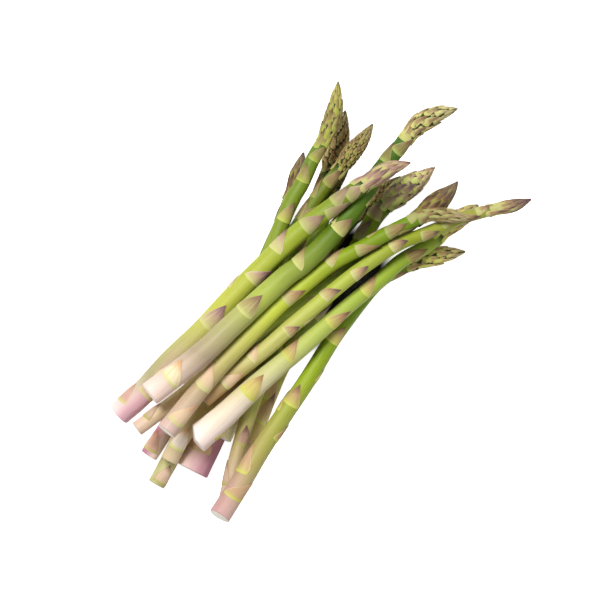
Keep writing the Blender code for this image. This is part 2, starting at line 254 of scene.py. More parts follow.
    def blend(self, factor: object, low: object, high: object, how: str = "MIX") -> Socket:
        """Two colours mixed.

        Args:
            factor: the second one's share.
            low: the first colour.
            high: the second colour.
            how: the way of mixing.

        Returns:
            The colour.
        """
        node = self.add("ShaderNodeMix", data_type="RGBA", blend_type=how)
        self.feed(node, {0: factor, 6: low, 7: high})
        return node.outputs[2]

    def lerp(self, factor: object, low: object, high: object) -> Socket:
        """Two numbers mixed.

        Args:
            factor: the second one's share.
            low: the first number.
            high: the second number.

        Returns:
            The number.
        """
        node = self.add("ShaderNodeMix", data_type="FLOAT")
        self.feed(node, {0: factor, 2: low, 3: high})
        return node.outputs[0]

    def noise(self, where: Socket, grain: object, detail: float = 2.0,
              rough: float = 0.5) -> Socket:
        """A noise value about 0.5.

        Args:
            where: the place that it is read at.
            grain: how fine it is, one number or one for each direction.
            detail: how many finer layers it has.
            rough: how strong those are.

        Returns:
            The value.
        """
        if not isinstance(grain, float):
            where, grain = self.vector("MULTIPLY", where, grain), 1.0
        node = self.add("ShaderNodeTexNoise", {"Vector": where, "Scale": grain, "Detail": detail,
                                               "Roughness": rough})
        return node.outputs[0]

    def read(self, name: str, what: str = "FLOAT") -> Socket:
        """A named attribute of the mesh.

        Args:
            name: the attribute's name.
            what: its type.

        Returns:
            Its value.
        """
        if self.prefix == "ShaderNode":
            node = self.add("Attribute", attribute_name=name)
            return node.outputs["Fac" if what == "FLOAT" else "Vector"]
        return self.out("InputNamedAttribute", {"Name": name}, data_type=what)

    def store(self, geometry: Socket, values: dict[str, object], what: str = "FLOAT") -> Socket:
        """Keep values on a geometry's points.

        Args:
            geometry: the geometry.
            values: the attributes' names to their values.
            what: their type.

        Returns:
            The geometry with the attributes.
        """
        for name, value in values.items():
            node = self.add("StoreNamedAttribute", {"Geometry": geometry, "Name": name},
                            data_type=what, domain="POINT")
            self.join(value, node.inputs["Value"])
            geometry = node.outputs[0]
        return geometry

    def gather(self, *geometries: Socket) -> Socket:
        """Join geometries.

        Args:
            geometries: what is joined.

        Returns:
            All of it as one geometry.
        """
        both = self.add("JoinGeometry")
        for geometry in geometries:
            self.join(geometry, both.inputs[0])
        return both.outputs[0]

    def bump(self, strength: float, distance: float, height: Socket) -> Socket:
        """The surface's direction with a fine relief, by its strength and its depth."""
        return self.out("Bump", {"Strength": strength, "Distance": distance, "Height": height})


@dataclass(frozen=True)
class Blade:
    """The slab that bracts, scales and buds repeat, before it gets its outline and its bend."""
    across: int
    along: int
    weld: float = 0.001

    def build(self, t: Tree) -> Socket:
        """A slab from -1 to 1 across, 0 to 1 along and 0 to 1 in height, closed all round.

        Args:
            t: the tree to build it in.

        Returns:
            The slab's geometry.
        """
        grid = t.out("MeshGrid", {"Size X": 2.0, "Size Y": 1.0, "Vertices X": self.across,
                                  "Vertices Y": self.along})
        grid = t.out("Transform", {"Geometry": grid, "Translation": (0.0, 0.5, 0.0)})
        top = t.out("ExtrudeMesh", {"Mesh": grid, "Offset": (0.0, 0.0, 1.0), "Offset Scale": 1.0,
                                    "Individual": False})
        under = t.out("FlipFaces", {"Mesh": grid})
        return t.out("MergeByDistance", {"Geometry": t.gather(top, under),
                                         "Distance": self.weld})


class Head(Enum):
    """How a head's scales and buds sit: each value holds the spear tree's inputs for it."""
    CLOSED = {"Head Scales": 38, "Head Wrap": math.radians(34), "Scale Length Low": 12.5 * MM,
              "Scale Length High": 7.5 * MM, "Scale Lift": 0.85 * MM, "Bud Thickness": 0.8 * MM}
    LONG = {"Head Scales": 36, "Head Wrap": math.radians(28), "Scale Length Low": 11.0 * MM,
            "Scale Length High": 6.5 * MM, "Scale Lift": 1.0 * MM, "Bud Thickness": 1.2 * MM}
    LOOSE = {"Head Scales": 30, "Head Wrap": math.radians(26), "Scale Length Low": 10.5 * MM,
             "Scale Length High": 6.5 * MM, "Scale Lift": 1.15 * MM, "Bud Thickness": 1.3 * MM,
             "Bud Wrap": math.radians(14), "Bud Length": 3.0 * MM, "Buds": 90}
    KNOBBLY = {"Head Scales": 38, "Head Wrap": math.radians(21), "Scale Length Low": 8.0 * MM,
               "Scale Length High": 4.8 * MM, "Scale Lift": 0.9 * MM, "Bud Thickness": 1.7 * MM,
               "Bud Wrap": math.radians(13), "Bud Length": 2.6 * MM, "Buds": 170}


@dataclass
class SpearTree:
    """The Geometry Nodes tree that grows a spear along its spine.

    The first fields are the defaults of the tree's own inputs, and the rest shape every spear
    alike. A share is one of the blade's length or of the head's. A pair named for a fade or an
    ease gives where it is nothing and where it is full.
    """
    sides: int = 44
    rib_count: float = 9.0
    rib_depth: float = 0.04 * MM
    wobble: float = 0.10 * MM
    bract_wrap: float = math.radians(72)
    bract_thickness: float = 0.5 * MM
    bract_lift: float = 0.25 * MM
    bract_point: float = 1.12
    head_low: float = -0.04
    head_high: float = 0.92
    head_point: float = 1.55
    scale_thickness: float = 1.15 * MM
    bud_count: int = 80
    bud_wrap: float = math.radians(22)
    bud_length: float = 3.4 * MM
    bud_point: float = 1.9
    overshoot: float = 0.1 * MM
    floor_ease: float = 0.5 * MM

    bract: Blade = Blade(across=13, along=10)
    scale: Blade = Blade(across=5, along=6)
    bud: Blade = Blade(across=4, along=4)

    seed_step: float = 17.0
    wobble_grain: Grain = (0.16, 0.16, 0.05)
    butt_ease: Pair = (0.3 * MM, 3 * MM)
    tip_ease: Pair = (2 * MM, 10 * MM)
    neck_fade: Pair = (-2 * MM, 4 * MM)
    slant_from: float = 0.1
    slant_fade: Pair = (9 * MM, 0.0)
    cut_station: float = 1e-6

    bud_start: float = 0.14
    bud_turn: float = 0.4
    crowding: float = 0.85
    kind_shift: float = 1000.0
    draw_shift: float = 101.0

    length_spread: float = 0.1
    foot_reach: float = 0.22
    foot_width: float = 0.9
    least_width: float = 0.012
    foot_arc: float = -0.08
    slim_stem: float = 2.4 * MM
    slim_height: float = 0.25
    edge_power: float = 0.6
    tip_power: float = 0.35
    tip_guard: float = 0.999
    foot_rise: float = 0.4
    foot_height: float = 0.35
    ridge_share: float = 0.6
    lift_power: float = 1.6
    sunk_reach: float = 0.5
    sunk_foot: float = 0.5 * MM
    sunk_tip: float = 0.08 * MM
    sway: float = 0.15
    lean_power: float = 1.3
    least_radius: float = 0.02 * MM
    least_station: float = 1.0 * MM

    def build(self) -> bpy.types.NodeTree:
        """Build the tree with its named inputs.

        Returns:
            The finished node group.
        """
        t = self.start()
        spine = t.add("ObjectInfo", {"Object": t.given["Spine"]}).outputs["Geometry"]
        long = t.out("CurveLength", {"Curve": spine})
        stem = self.sweep(t, spine, long)
        blades = self.bend(t, spine, long, self.plant(t, long))
        settled = self.settle(t, t.gather(stem, blades))
        smooth = t.out("SetShadeSmooth", {"Geometry": settled})
        whole = t.out("RealizeInstances", {"Geometry": smooth})
        is_blade = t.math("GREATER_THAN", t.read("spear_part"), 0.5)
        is_cut = t.times(t.math("LESS_THAN", t.read("spear_station"), self.cut_station),
                         t.minus(1.0, is_blade))
        dressed = t.out("SetMaterial", {"Geometry": whole, "Material": t.given["Skin"]})
        for chosen, material in ((is_blade, "Scales"), (is_cut, "Cut")):
            dressed = t.out("SetMaterial", {"Geometry": dressed, "Selection": chosen,
                                            "Material": t.given[material]})
        t.join(dressed, t.result["Geometry"])
        return t.tree

    def start(self) -> Tree:
        """Start the tree.

        Returns:
            The tree, with its named inputs and its one output.
        """
        length, angle = "Float distance", "Float angle"
        return Tree.group("asparagus spear", Kind.GEOMETRY, {
            "Seats": ("Geometry",), "Spine": ("Object",), "Neck": (length,),
            "Sides": ("Int", self.sides), "Rib Count": ("Float", self.rib_count),
            "Rib Depth": (length, self.rib_depth), "Wobble": (length, self.wobble),
            "Bract Wrap": (angle, self.bract_wrap), "Bract Lift": (length, self.bract_lift),
            "Bract Thickness": (length, self.bract_thickness),
            "Bract Point": ("Float", self.bract_point),
            "Head Scales": ("Int",), "Head Low": ("Float", self.head_low),
            "Head High": ("Float", self.head_high), "Head Point": ("Float", self.head_point),
            "Head Wrap": (angle,), "Scale Length Low": (length,), "Scale Length High": (length,),
            "Scale Thickness": (length, self.scale_thickness), "Scale Lift": (length,),
            "Buds": ("Int", self.bud_count), "Bud Wrap": (angle, self.bud_wrap),
            "Bud Length": (length, self.bud_length), "Bud Thickness": (length,),
            "Bud Point": ("Float", self.bud_point), "Overshoot": (length, self.overshoot),
            "Floor Ease": (length, self.floor_ease), "Cut Slant": ("Float",), "Cut Turn": (angle,),
            "First Turn": (angle,), "Golden Angle": (angle, math.radians(GOLDEN_ANGLE)),
            "Seed": ("Int",),
            "Skin": ("Material",), "Scales": ("Material",), "Cut": ("Material",),
        }, {"Geometry": "Geometry"})

    def settle(self, t: Tree, grown: Socket) -> Socket:
        """Lift what dips below the table back onto it, softly.

        Args:
            t: the tree.
            grown: the stem with its blades.

        Returns:
            The same geometry, none of it below the table.
        """
        x, y, z = t.parts(t.out("InputPosition"))
        sunk = t.over(t.minus(z, t.given["Floor Ease"]), t.given["Floor Ease"])
        eased = t.times(t.math("EXPONENT", t.least(sunk, 0.0)), t.given["Floor Ease"])
        resting = t.combine(x, y, t.most(z, eased))
        return t.out("SetPosition", {"Geometry": grown, "Position": resting})

    def sweep(self, t: Tree, spine: Socket, long: Socket) -> Socket:
        """The stem: a round profile swept along the spine, a little uneven, its butt cut askew.

        Args:
            t: the tree.
            spine: the spine's curve.
            long: its length.

        Returns:
            The stem's mesh, closed at the butt and the tip.
        """
        upright = t.out("SetCurveNormal", {"Curve": spine}, mode="Z_UP")
        along = t.add("CaptureAttribute", {"Geometry": upright}, domain="POINT")
        for what, name in (("FLOAT", "station"), ("VECTOR", "centre"), ("FLOAT", "radius"),
                           ("VECTOR", "ahead")):
            along.capture_items.new(what, name)
        radius = t.out("InputRadius")
        t.feed(along, {"station": t.add("SplineParameter").outputs["Length"],
                       "centre": t.out("InputPosition"), "radius": radius,
                       "ahead": t.out("InputTangent")})
        circle = t.out("CurvePrimitiveCircle", {"Resolution": t.given["Sides"], "Radius": 1.0})
        profile = t.add("CaptureAttribute", {"Geometry": circle}, domain="POINT")
        profile.capture_items.new("VECTOR", "rim")
        t.feed(profile, {"rim": t.out("InputPosition")})
        tube = t.out("CurveToMesh", {"Curve": along.outputs[0], "Profile Curve": profile.outputs[0],
                                     "Scale": radius, "Fill Caps": True})
        station, centre = along.outputs["station"], along.outputs["centre"]
        rim = profile.outputs["rim"]
        x, y, _ = t.parts(rim)
        wound = t.math("ARCTAN2", y, x)
        rib = t.math("COSINE", t.times(wound, t.given["Rib Count"]))
        skin = t.vector("MULTIPLY_ADD", rim, along.outputs["radius"], t.combine(0.0, 0.0, station))
        skin = t.vector("SCALE", skin, 1 / MM)
        apart = t.combine(t.times(t.given["Seed"], self.seed_step), 0.0, 0.0)
        uneven = t.minus(t.noise(t.vector("ADD", skin, apart), self.wobble_grain), 0.5)
        here = t.out("InputPosition")
        outward = t.vector("NORMALIZE", t.vector("SUBTRACT", here, centre))
        swell = t.times_plus(rib, t.given["Rib Depth"],
                             t.times(uneven, t.times(t.given["Wobble"], 2.0)))
        held = t.times(t.ramp(station, *self.butt_ease),
                       t.ramp(t.minus(long, station), *self.tip_ease))
        offset = t.vector("SCALE", outward, t.times(swell, held))
        facing = t.math("COSINE", t.minus(wound, t.given["Cut Turn"]))
        trimmed = t.times(t.most(t.minus(facing, self.slant_from), 0.0),
                          t.times(along.outputs["radius"], t.given["Cut Slant"]))
        trimmed = t.times(trimmed, t.ramp(station, *self.slant_fade, smooth=False))
        offset = t.vector("ADD", offset, t.vector("SCALE", along.outputs["ahead"], trimmed))
        tube = t.out("SetPosition", {"Geometry": tube, "Offset": offset})
        above_neck = t.minus(station, t.given["Neck"])
        tube = t.store(tube, {"spear_station": station, "spear_climb": t.over(station, long),
                              "spear_head": t.ramp(above_neck, *self.neck_fade)})
        tube = t.store(tube, {"spear_skin": skin}, "FLOAT_VECTOR")
        return t.store(tube, {"spear_part": 0.0})

    def plant(self, t: Tree, long: Socket) -> Socket:
        """Bracts on their seats, and the head's scales and the buds between them by their rule.

        Args:
            t: the tree.
            long: the spine's length.

        Returns:
            The slabs, still flat at the origin, each with its seat's station, turn and measures.
        """
        seats = t.out("MeshToPoints", {"Mesh": t.given["Seats"], "Position": (0.0, 0.0, 0.0)})
        bracts = t.store(seats, {"wrap": t.given["Bract Wrap"], "thick": t.given["Bract Thickness"],
                                 "lift": t.given["Bract Lift"], "point": t.given["Bract Point"],
                                 "bud": 0.0})
        spots = self.spiral(t, long, t.given["Head Scales"], 0.0, 0.0)
        reach = t.lerp(t.read("up_head"), t.given["Scale Length Low"],
                       t.given["Scale Length High"])
        scales = t.store(spots, {"reach": reach, "wrap": t.given["Head Wrap"],
                                 "thick": t.given["Scale Thickness"], "lift": t.given["Scale Lift"],
                                 "point": t.given["Head Point"], "bud": 0.0})
        spots = self.spiral(t, long, t.given["Buds"], self.bud_turn, self.bud_start)
        buds = t.store(spots, {"reach": t.given["Bud Length"], "wrap": t.given["Bud Wrap"],
                               "thick": t.given["Bud Thickness"], "lift": 0.0,
                               "point": t.given["Bud Point"], "bud": 1.0})
        grown = []
        for number, (seats, blade) in enumerate(((bracts, self.bract), (scales, self.scale),
                                                 (buds, self.bud))):
            seats = self.vary(t, seats, self.kind_shift * number)
            copies = t.add("InstanceOnPoints", {"Points": seats, "Instance": blade.build(t)})
            grown.append(t.out("RealizeInstances", {"Geometry": copies.outputs[0]}))
        return t.gather(*grown)

    def spiral(self, t: Tree, long: Socket, count: Socket, offset: float,
               start: float) -> Socket:
        """Points up the head, each a golden angle on from the last.

        Args:
            t: the tree.
            long: the spine's length.
            count: how many points.
            offset: turns the whole spiral, in radians.
            start: how much further up the head it begins, as a share of the head.

        Returns:
            The points with their station, turn, lean and share of the way up the head.
        """
        points = t.out("Points", {"Count": count, "Position": (0.0, 0.0, 0.0)})
        index = t.out("InputIndex")
        k = t.over(index, count)
        lowest = t.plus(t.given["Head Low"], start)
        share = t.lerp(t.power(k, self.crowding), lowest, t.given["Head High"])
        room = t.minus(long, t.given["Neck"])
        turn = t.times_plus(index, t.given["Golden Angle"], t.given["First Turn"])
        return t.store(points, {"station": t.times_plus(share, room, t.given["Neck"]),
                                "turn": t.plus(turn, offset), "lean": 0.0, "up_head": k})

    def vary(self, t: Tree, seats: Socket, shift: float) -> Socket:
        """Give every seat its own seeded tone, sideways lean and length.

        Args:
            t: the tree.
            seats: the seats' points.
            shift: keeps one kind of blade's draws apart from another's.

        Returns:
            The points with those values stored.
        """
        index = t.out("InputIndex")
        for step, (name, low) in enumerate((("tone", 0.0), ("skew", -1.0), ("long", -1.0))):
            drawn = t.add("FunctionNodeRandomValue", data_type="FLOAT")
            seed = t.plus(t.given["Seed"], shift + self.draw_shift * step)
            t.feed(drawn, {2: low, 3: 1.0, "ID": index, "Seed": seed})
            seats = t.store(seats, {name: drawn.outputs[1]})
        return seats

    def bend(self, t: Tree, spine: Socket, long: Socket, slabs: Socket) -> Socket:
        """Give the slabs their pointed outline and thickness, and bend them round the stem.

        Args:
            t: the tree.
            spine: the spine's curve.
            long: its length.
            slabs: the slabs, flat at the origin.

        Returns:
            The blades' mesh, in place.
        """
        x, y, z = t.parts(t.out("InputPosition"))
        reach = t.times(t.read("reach"), t.times_plus(t.read("long"), self.length_spread, 1.0))
        room = t.minus(t.plus(long, t.given["Overshoot"]), t.read("station"))
        reach = t.least(reach, room)
        taper = t.minus(1.0, t.power(y, t.read("point")))
        foot = t.lerp(t.ramp(y, 0.0, self.foot_reach), self.foot_width, 1.0)
        width = t.most(t.times(taper, foot), self.least_width)
        middle = t.minus(1.0, t.times(x, x))
        arc = t.times(middle, t.minus(1.0, y))
        station = t.times_plus(reach, t.times_plus(arc, self.foot_arc, y), t.read("station"))
        kept = t.least(t.most(station, 0.0), long)
        sampled = t.add("SampleCurve", {"Curves": spine, "Length": kept}, mode="LENGTH",
                        data_type="FLOAT")
        t.join(t.out("InputRadius"), sampled.inputs["Value"])
        radius, place = sampled.outputs["Value"], sampled.outputs["Position"]
        tangent = sampled.outputs["Tangent"]
        height = self.thicken(t, y, z, middle, radius)
        sway = t.times(t.read("skew"), t.times(t.times(y, y), self.sway))
        across = t.plus(t.times(x, width), sway)
        angle = t.minus(t.read("turn"), t.times(across, t.read("wrap")))
        angle = t.times_plus(t.read("lean"), t.power(y, self.lean_power), angle)
        side = t.vector("NORMALIZE", t.vector("CROSS_PRODUCT", tangent, (0.0, 0.0, 1.0)))
        spoke = t.vector("ADD", t.vector("SCALE", side, t.math("COSINE", angle)),
                         t.combine(0.0, 0.0, t.math("SINE", angle)))
        ahead = t.vector("SCALE", tangent, t.minus(station, kept))
        out = t.most(t.plus(radius, height), self.least_radius)
        spot = t.vector("ADD", t.vector("ADD", place, ahead), t.vector("SCALE", spoke, out))
        blades = t.store(slabs, {"scale_blade": t.combine(x, y, z)}, "FLOAT_VECTOR")
        blades = t.store(blades, {"spear_climb": t.over(station, long),
                                  "spear_station": t.most(station, self.least_station)})
        skin = t.combine(t.times(t.math("COSINE", angle), out),
                         t.times(t.math("SINE", angle), out), station)
        blades = t.store(blades, {"spear_skin": t.vector("SCALE", skin, 1 / MM)}, "FLOAT_VECTOR")
        blades = t.store(blades, {"spear_part": 1.0})
        return t.out("SetPosition", {"Geometry": blades, "Position": spot})

    def thicken(self, t: Tree, y: Socket, z: Socket, middle: Socket, radius: Socket) -> Socket:
        """How far a blade's points stand off the stem.

        Args:
            t: the tree.
            y: how far along the blade a point lies.
            z: 0 for its underside and 1 for its upper side.
            middle: 1 along its middle and 0 at its edges.
            radius: the stem's radius there.

        Returns:
            The distance from the stem's skin, below nothing for what is sunk in it.
        """
        slim = t.ramp(radius, 0.0, self.slim_stem, smooth=False)
        ridge = t.times(t.power(t.most(middle, 0.0), self.edge_power),
                        t.power(t.minus(1.0, t.times(y, self.tip_guard)), self.tip_power))
        ridge = t.times(ridge, t.lerp(t.ramp(y, 0.0, self.foot_rise), self.foot_height, 1.0))
        stand = t.times(t.read("lift"), t.power(y, self.lift_power))
        thick = t.times_plus(ridge, self.ridge_share, 1.0 - self.ridge_share)
        outer = t.times_plus(t.read("thick"), thick, stand)
        inner = t.minus(stand, t.lerp(t.ramp(y, 0.0, self.sunk_reach), self.sunk_foot,
                                      self.sunk_tip))
        return t.times(t.lerp(z, inner, outer), t.lerp(slim, self.slim_height, 1.0))


@dataclass(frozen=True)
class SkinPattern:
    """The pattern of asparagus skin, which every stem's colours read."""
    drift: float = 0.05
    streak_width: float = 0.45
    streak_stretch: float = 0.05
    drift_grain: Grain = (0.12, 0.12, 0.03)
    blotch_grain: Grain = (0.35, 0.35, 0.16)
    sunny_grain: Grain = (0.09, 0.09, 0.03)
    fine_grain: float = 3.0
    fine_relief: float = 0.15
    detail: float = 3.0
    rough: float = 0.6

    def build(self) -> bpy.types.NodeTree:
        """Build the shader group.

        Returns:
            A group that puts out where a point counts as lying along the spear, the fine
            lengthwise streaks, soft blotches, which side saw the sun, and the relief.
        """
        t = Tree.group("asparagus skin", Kind.SHADER, {
            "Drift": ("Float", self.drift), "Streak Width": ("Float", self.streak_width),
            "Shift": ("Float", 0.0),
        }, dict.fromkeys(("Along", "Streaks", "Blotches", "Sunny Side", "Height"), "Float"))
        skin = t.read("spear_skin", "VECTOR")
        moved = t.vector("ADD", skin, t.combine(t.given["Shift"], t.given["Shift"], 0.0))
        drift = t.times(t.minus(t.noise(moved, self.drift_grain), 0.5), t.given["Drift"])
        fine = t.over(1.0, t.given["Streak Width"])
        streak_grain = t.combine(fine, fine, self.streak_stretch)
        streaks = t.noise(moved, streak_grain, self.detail, self.rough)
        relief = t.times(t.noise(moved, self.fine_grain), self.fine_relief)
        for name, value in (
                ("Along", t.plus(t.read("spear_climb"), drift)), ("Streaks", streaks),
                ("Blotches", t.noise(moved, self.blotch_grain, self.detail, self.rough)),
                ("Sunny Side", t.noise(moved, self.sunny_grain, 1.0)),
                ("Height", t.plus(streaks, relief))):
            t.join(value, t.result[name])
        return t.tree


@dataclass(frozen=True)
class ScalePattern:
    """The pattern of bracts, scales and buds: pale foot and edges, a blushed body, fine veins.

    A pair named for a share gives it on a bract and on a scale of the head. A pair named for a
    fade gives where it is nothing and where it is full: up the spear, along the blade, out from
    its middle or in a pattern. The bract's blush begins and is full at its pair of places.
    """
    head_fade: Pair = (0.82, 0.87)
    patch_grain: Grain = (0.6, 0.6, 0.35)
    vein_grain: Grain = (5.0, 0.8, 40.0)
    detail: float = 3.0
    rough: float = 0.6
    ripe_fade: Pair = (0.1, 0.34)
    ripe_spread: float = 0.12
    wander_share: Pair = (0.2, 0.5)
    drawn_back_share: Pair = (0.0, 0.12)
    unripe_advance: float = 0.12
    halfway_fade_in: Pair = (0.22, 0.36)
    halfway_fade_out: Pair = (0.76, 0.6)
    halfway_delay: float = 0.21
    bract_blush: Pair = (-0.1, 0.5)
    midrib_fade: Pair = (1.0, 0.3)
    midrib_edge: float = 0.55
    low_share: Pair = (0.4, 0.12)
    tip_from_share: Pair = (0.5, 0.42)
    tip_full_share: Pair = (1.0, 0.8)
    tip_share: Pair = (1.0, 0.85)
    light_vein_fade: Pair = (0.5, 0.7)
    light_vein_share: Pair = (0.22, 0.4)
    dark_vein_fade: Pair = (0.46, 0.3)
    dark_vein_amount: float = 0.3
    rim_fade: Pair = (0.84, 0.98)
    rim_share: Pair = (0.7, 0.55)
    rim_tip: float = 0.6
    foot_fade: Pair = (0.18, 0.02)
    foot_share: Pair = (0.65, 0.8)
    freckle_fade: Pair = (0.42, 0.6)
    freckle_edge: float = 0.4
    upper_tint_fade: Pair = (0.56, 0.78)
    upper_tint: str = "D4DEC6"
    apex_fade: Pair = (0.92, 0.99)
    apex_amount: float = 0.6
    hollow_fade: Pair = (0.3, 1.0)
    hollow_amount: float = 0.85
    under_fade: Pair = (0.6, 0.1)
    under_share: Pair = (0.3, 1.0)
    roughness: Pair = (0.45, 0.72)
    patch_relief: float = 0.8

    def build(self) -> bpy.types.NodeTree:
        """Build the shader group.

        Returns:
            A group that puts out the colour, a roughness and the relief.
        """
        colours = dict.fromkeys(("Foot", "Body", "Tip", "Edge", "Low Body", "Low Tip", "Shade",
                                 "Head Tint", "Apex"), ("Color",))
        numbers = dict.fromkeys(("Blush Low", "Blush High", "Mottle", "Shift"), ("Float",))
        t = Tree.group("asparagus scale", Kind.SHADER, colours | numbers,
                       {"Colour": "Color", "Roughness": "Float", "Height": "Float"})
        x, y, z = t.parts(t.read("scale_blade", "VECTOR"))
        tone, climb = t.read("tone"), t.read("spear_climb")
        in_head = t.ramp(climb, *self.head_fade)
        shift = t.combine(t.given["Shift"], 0.0, 0.0)
        skin = t.vector("ADD", t.read("spear_skin", "VECTOR"), shift)
        patch = t.noise(skin, self.patch_grain, self.detail, self.rough)
        veins = t.noise(t.combine(*map(t.times, (x, y, tone), self.vein_grain)), 1.0)
        aside = t.math("ABSOLUTE", x)
        colour, body, tip = self.blushed(t, y, aside, tone, climb, in_head, patch, veins)
        edge, shade = t.given["Edge"], t.given["Shade"]
        rim = t.times(t.ramp(aside, *self.rim_fade), t.lerp(in_head, *self.rim_share))
        colour = t.blend(rim, colour, t.blend(t.times(y, self.rim_tip), edge, tip))
        foot = t.times(t.ramp(y, *self.foot_fade), t.lerp(in_head, *self.foot_share))
        colour = t.blend(foot, colour, t.given["Foot"])
        bud = t.read("bud")
        freckled = t.times(bud, t.ramp(patch, *self.freckle_fade))
        colour = t.blend(freckled, colour, t.blend(self.freckle_edge, body, edge))
        # Bracts below the head turn darker and greener up the stem.
        upper_tint = t.times(t.ramp(climb, *self.upper_tint_fade), t.minus(1.0, in_head))
        for factor, tint in ((upper_tint, paint(self.upper_tint)), (in_head, t.given["Head Tint"])):
            colour = t.blend(factor, colour, t.blend(1.0, colour, tint, "MULTIPLY"))
        apex = t.times(t.ramp(climb, *self.apex_fade), self.apex_amount)
        colour = t.blend(apex, colour, t.given["Apex"])
        hollow = t.times(t.times(bud, t.ramp(aside, *self.hollow_fade)), self.hollow_amount)
        colour = t.blend(hollow, colour, shade)
        under = t.times(t.ramp(z, *self.under_fade), t.lerp(in_head, *self.under_share))
        t.join(t.blend(under, colour, shade), t.result["Colour"])
        t.join(t.lerp(patch, *self.roughness), t.result["Roughness"])
        t.join(t.plus(veins, t.times(patch, self.patch_relief)), t.result["Height"])
        return t.tree

    def blushed(self, t: Tree, y: Socket, aside: Socket, tone: Socket, climb: Socket,
                in_head: Socket, patch: Socket, veins: Socket) -> tuple[Socket, Socket, Socket]:
        """The blade's colour from its foot over its body to its tip, with its veins.

        Args:
            t: the tree.
            y: how far along the blade a point lies.
            aside: 0 along its middle and 1 at its edges.
            tone: the blade's own seeded number.
            climb: how far up the spear the point lies.
            in_head: 1 on the head and 0 below it.
            patch: the soft patches.
            veins: the fine lengthwise lines.

        Returns:
            The colour, and those of the body and the tip at that height of the spear.
        """
        apart = t.minus(tone, 0.5)
        ripe = t.ramp(t.times_plus(apart, self.ripe_spread, climb), *self.ripe_fade)
        body = t.blend(ripe, t.given["Low Body"], t.given["Body"])
        tip = t.blend(ripe, t.given["Low Tip"], t.given["Tip"])
        wander = t.times(apart, t.lerp(in_head, *self.wander_share))
        moved = t.plus(y, t.times(t.minus(patch, 0.5), t.given["Mottle"]))
        moved = t.minus(t.plus(moved, wander), t.lerp(in_head, *self.drawn_back_share))
        halfway = t.times(t.ramp(climb, *self.halfway_fade_in),
                          t.ramp(climb, *self.halfway_fade_out))
        later = t.minus(t.lerp(ripe, self.unripe_advance, 0.0),
                        t.times(halfway, self.halfway_delay))
        blush_from, blush_full = self.bract_blush
        blush = t.ramp(t.plus(moved, later), t.lerp(in_head, blush_from, t.given["Blush Low"]),
                       t.lerp(in_head, blush_full, t.given["Blush High"]))
        midrib = t.lerp(in_head, 1.0, t.ramp(aside, *self.midrib_fade))
        paler = t.blend(self.midrib_edge, t.given["Foot"], t.given["Edge"])
        low = t.blend(t.lerp(in_head, *self.low_share), t.given["Foot"],
                      t.blend(in_head, body, t.given["Edge"]))
        colour = t.blend(blush, low, t.blend(midrib, paler, body))
        pointed = t.ramp(moved, t.lerp(in_head, *self.tip_from_share),
                         t.lerp(in_head, *self.tip_full_share))
        colour = t.blend(t.times(pointed, t.lerp(in_head, *self.tip_share)), colour, tip)
        light = t.times(t.ramp(veins, *self.light_vein_fade),
                        t.lerp(in_head, *self.light_vein_share))
        colour = t.blend(light, colour, t.given["Edge"])
        dark = t.times(t.ramp(veins, *self.dark_vein_fade),
                       t.times(blush, self.dark_vein_amount))
        return t.blend(dark, colour, tip), body, tip


def blank_material(name: str) -> tuple[bpy.types.Material, Tree, bpy.types.Node]:
    """Make a new material.

    Args:
        name: the material's name.

    Returns:
        The material, its tree and its shader.
    """
    made = bpy.data.materials.new(name)
    made.use_nodes = True
    return made, Tree(made.node_tree), made.node_tree.nodes["Principled BSDF"]


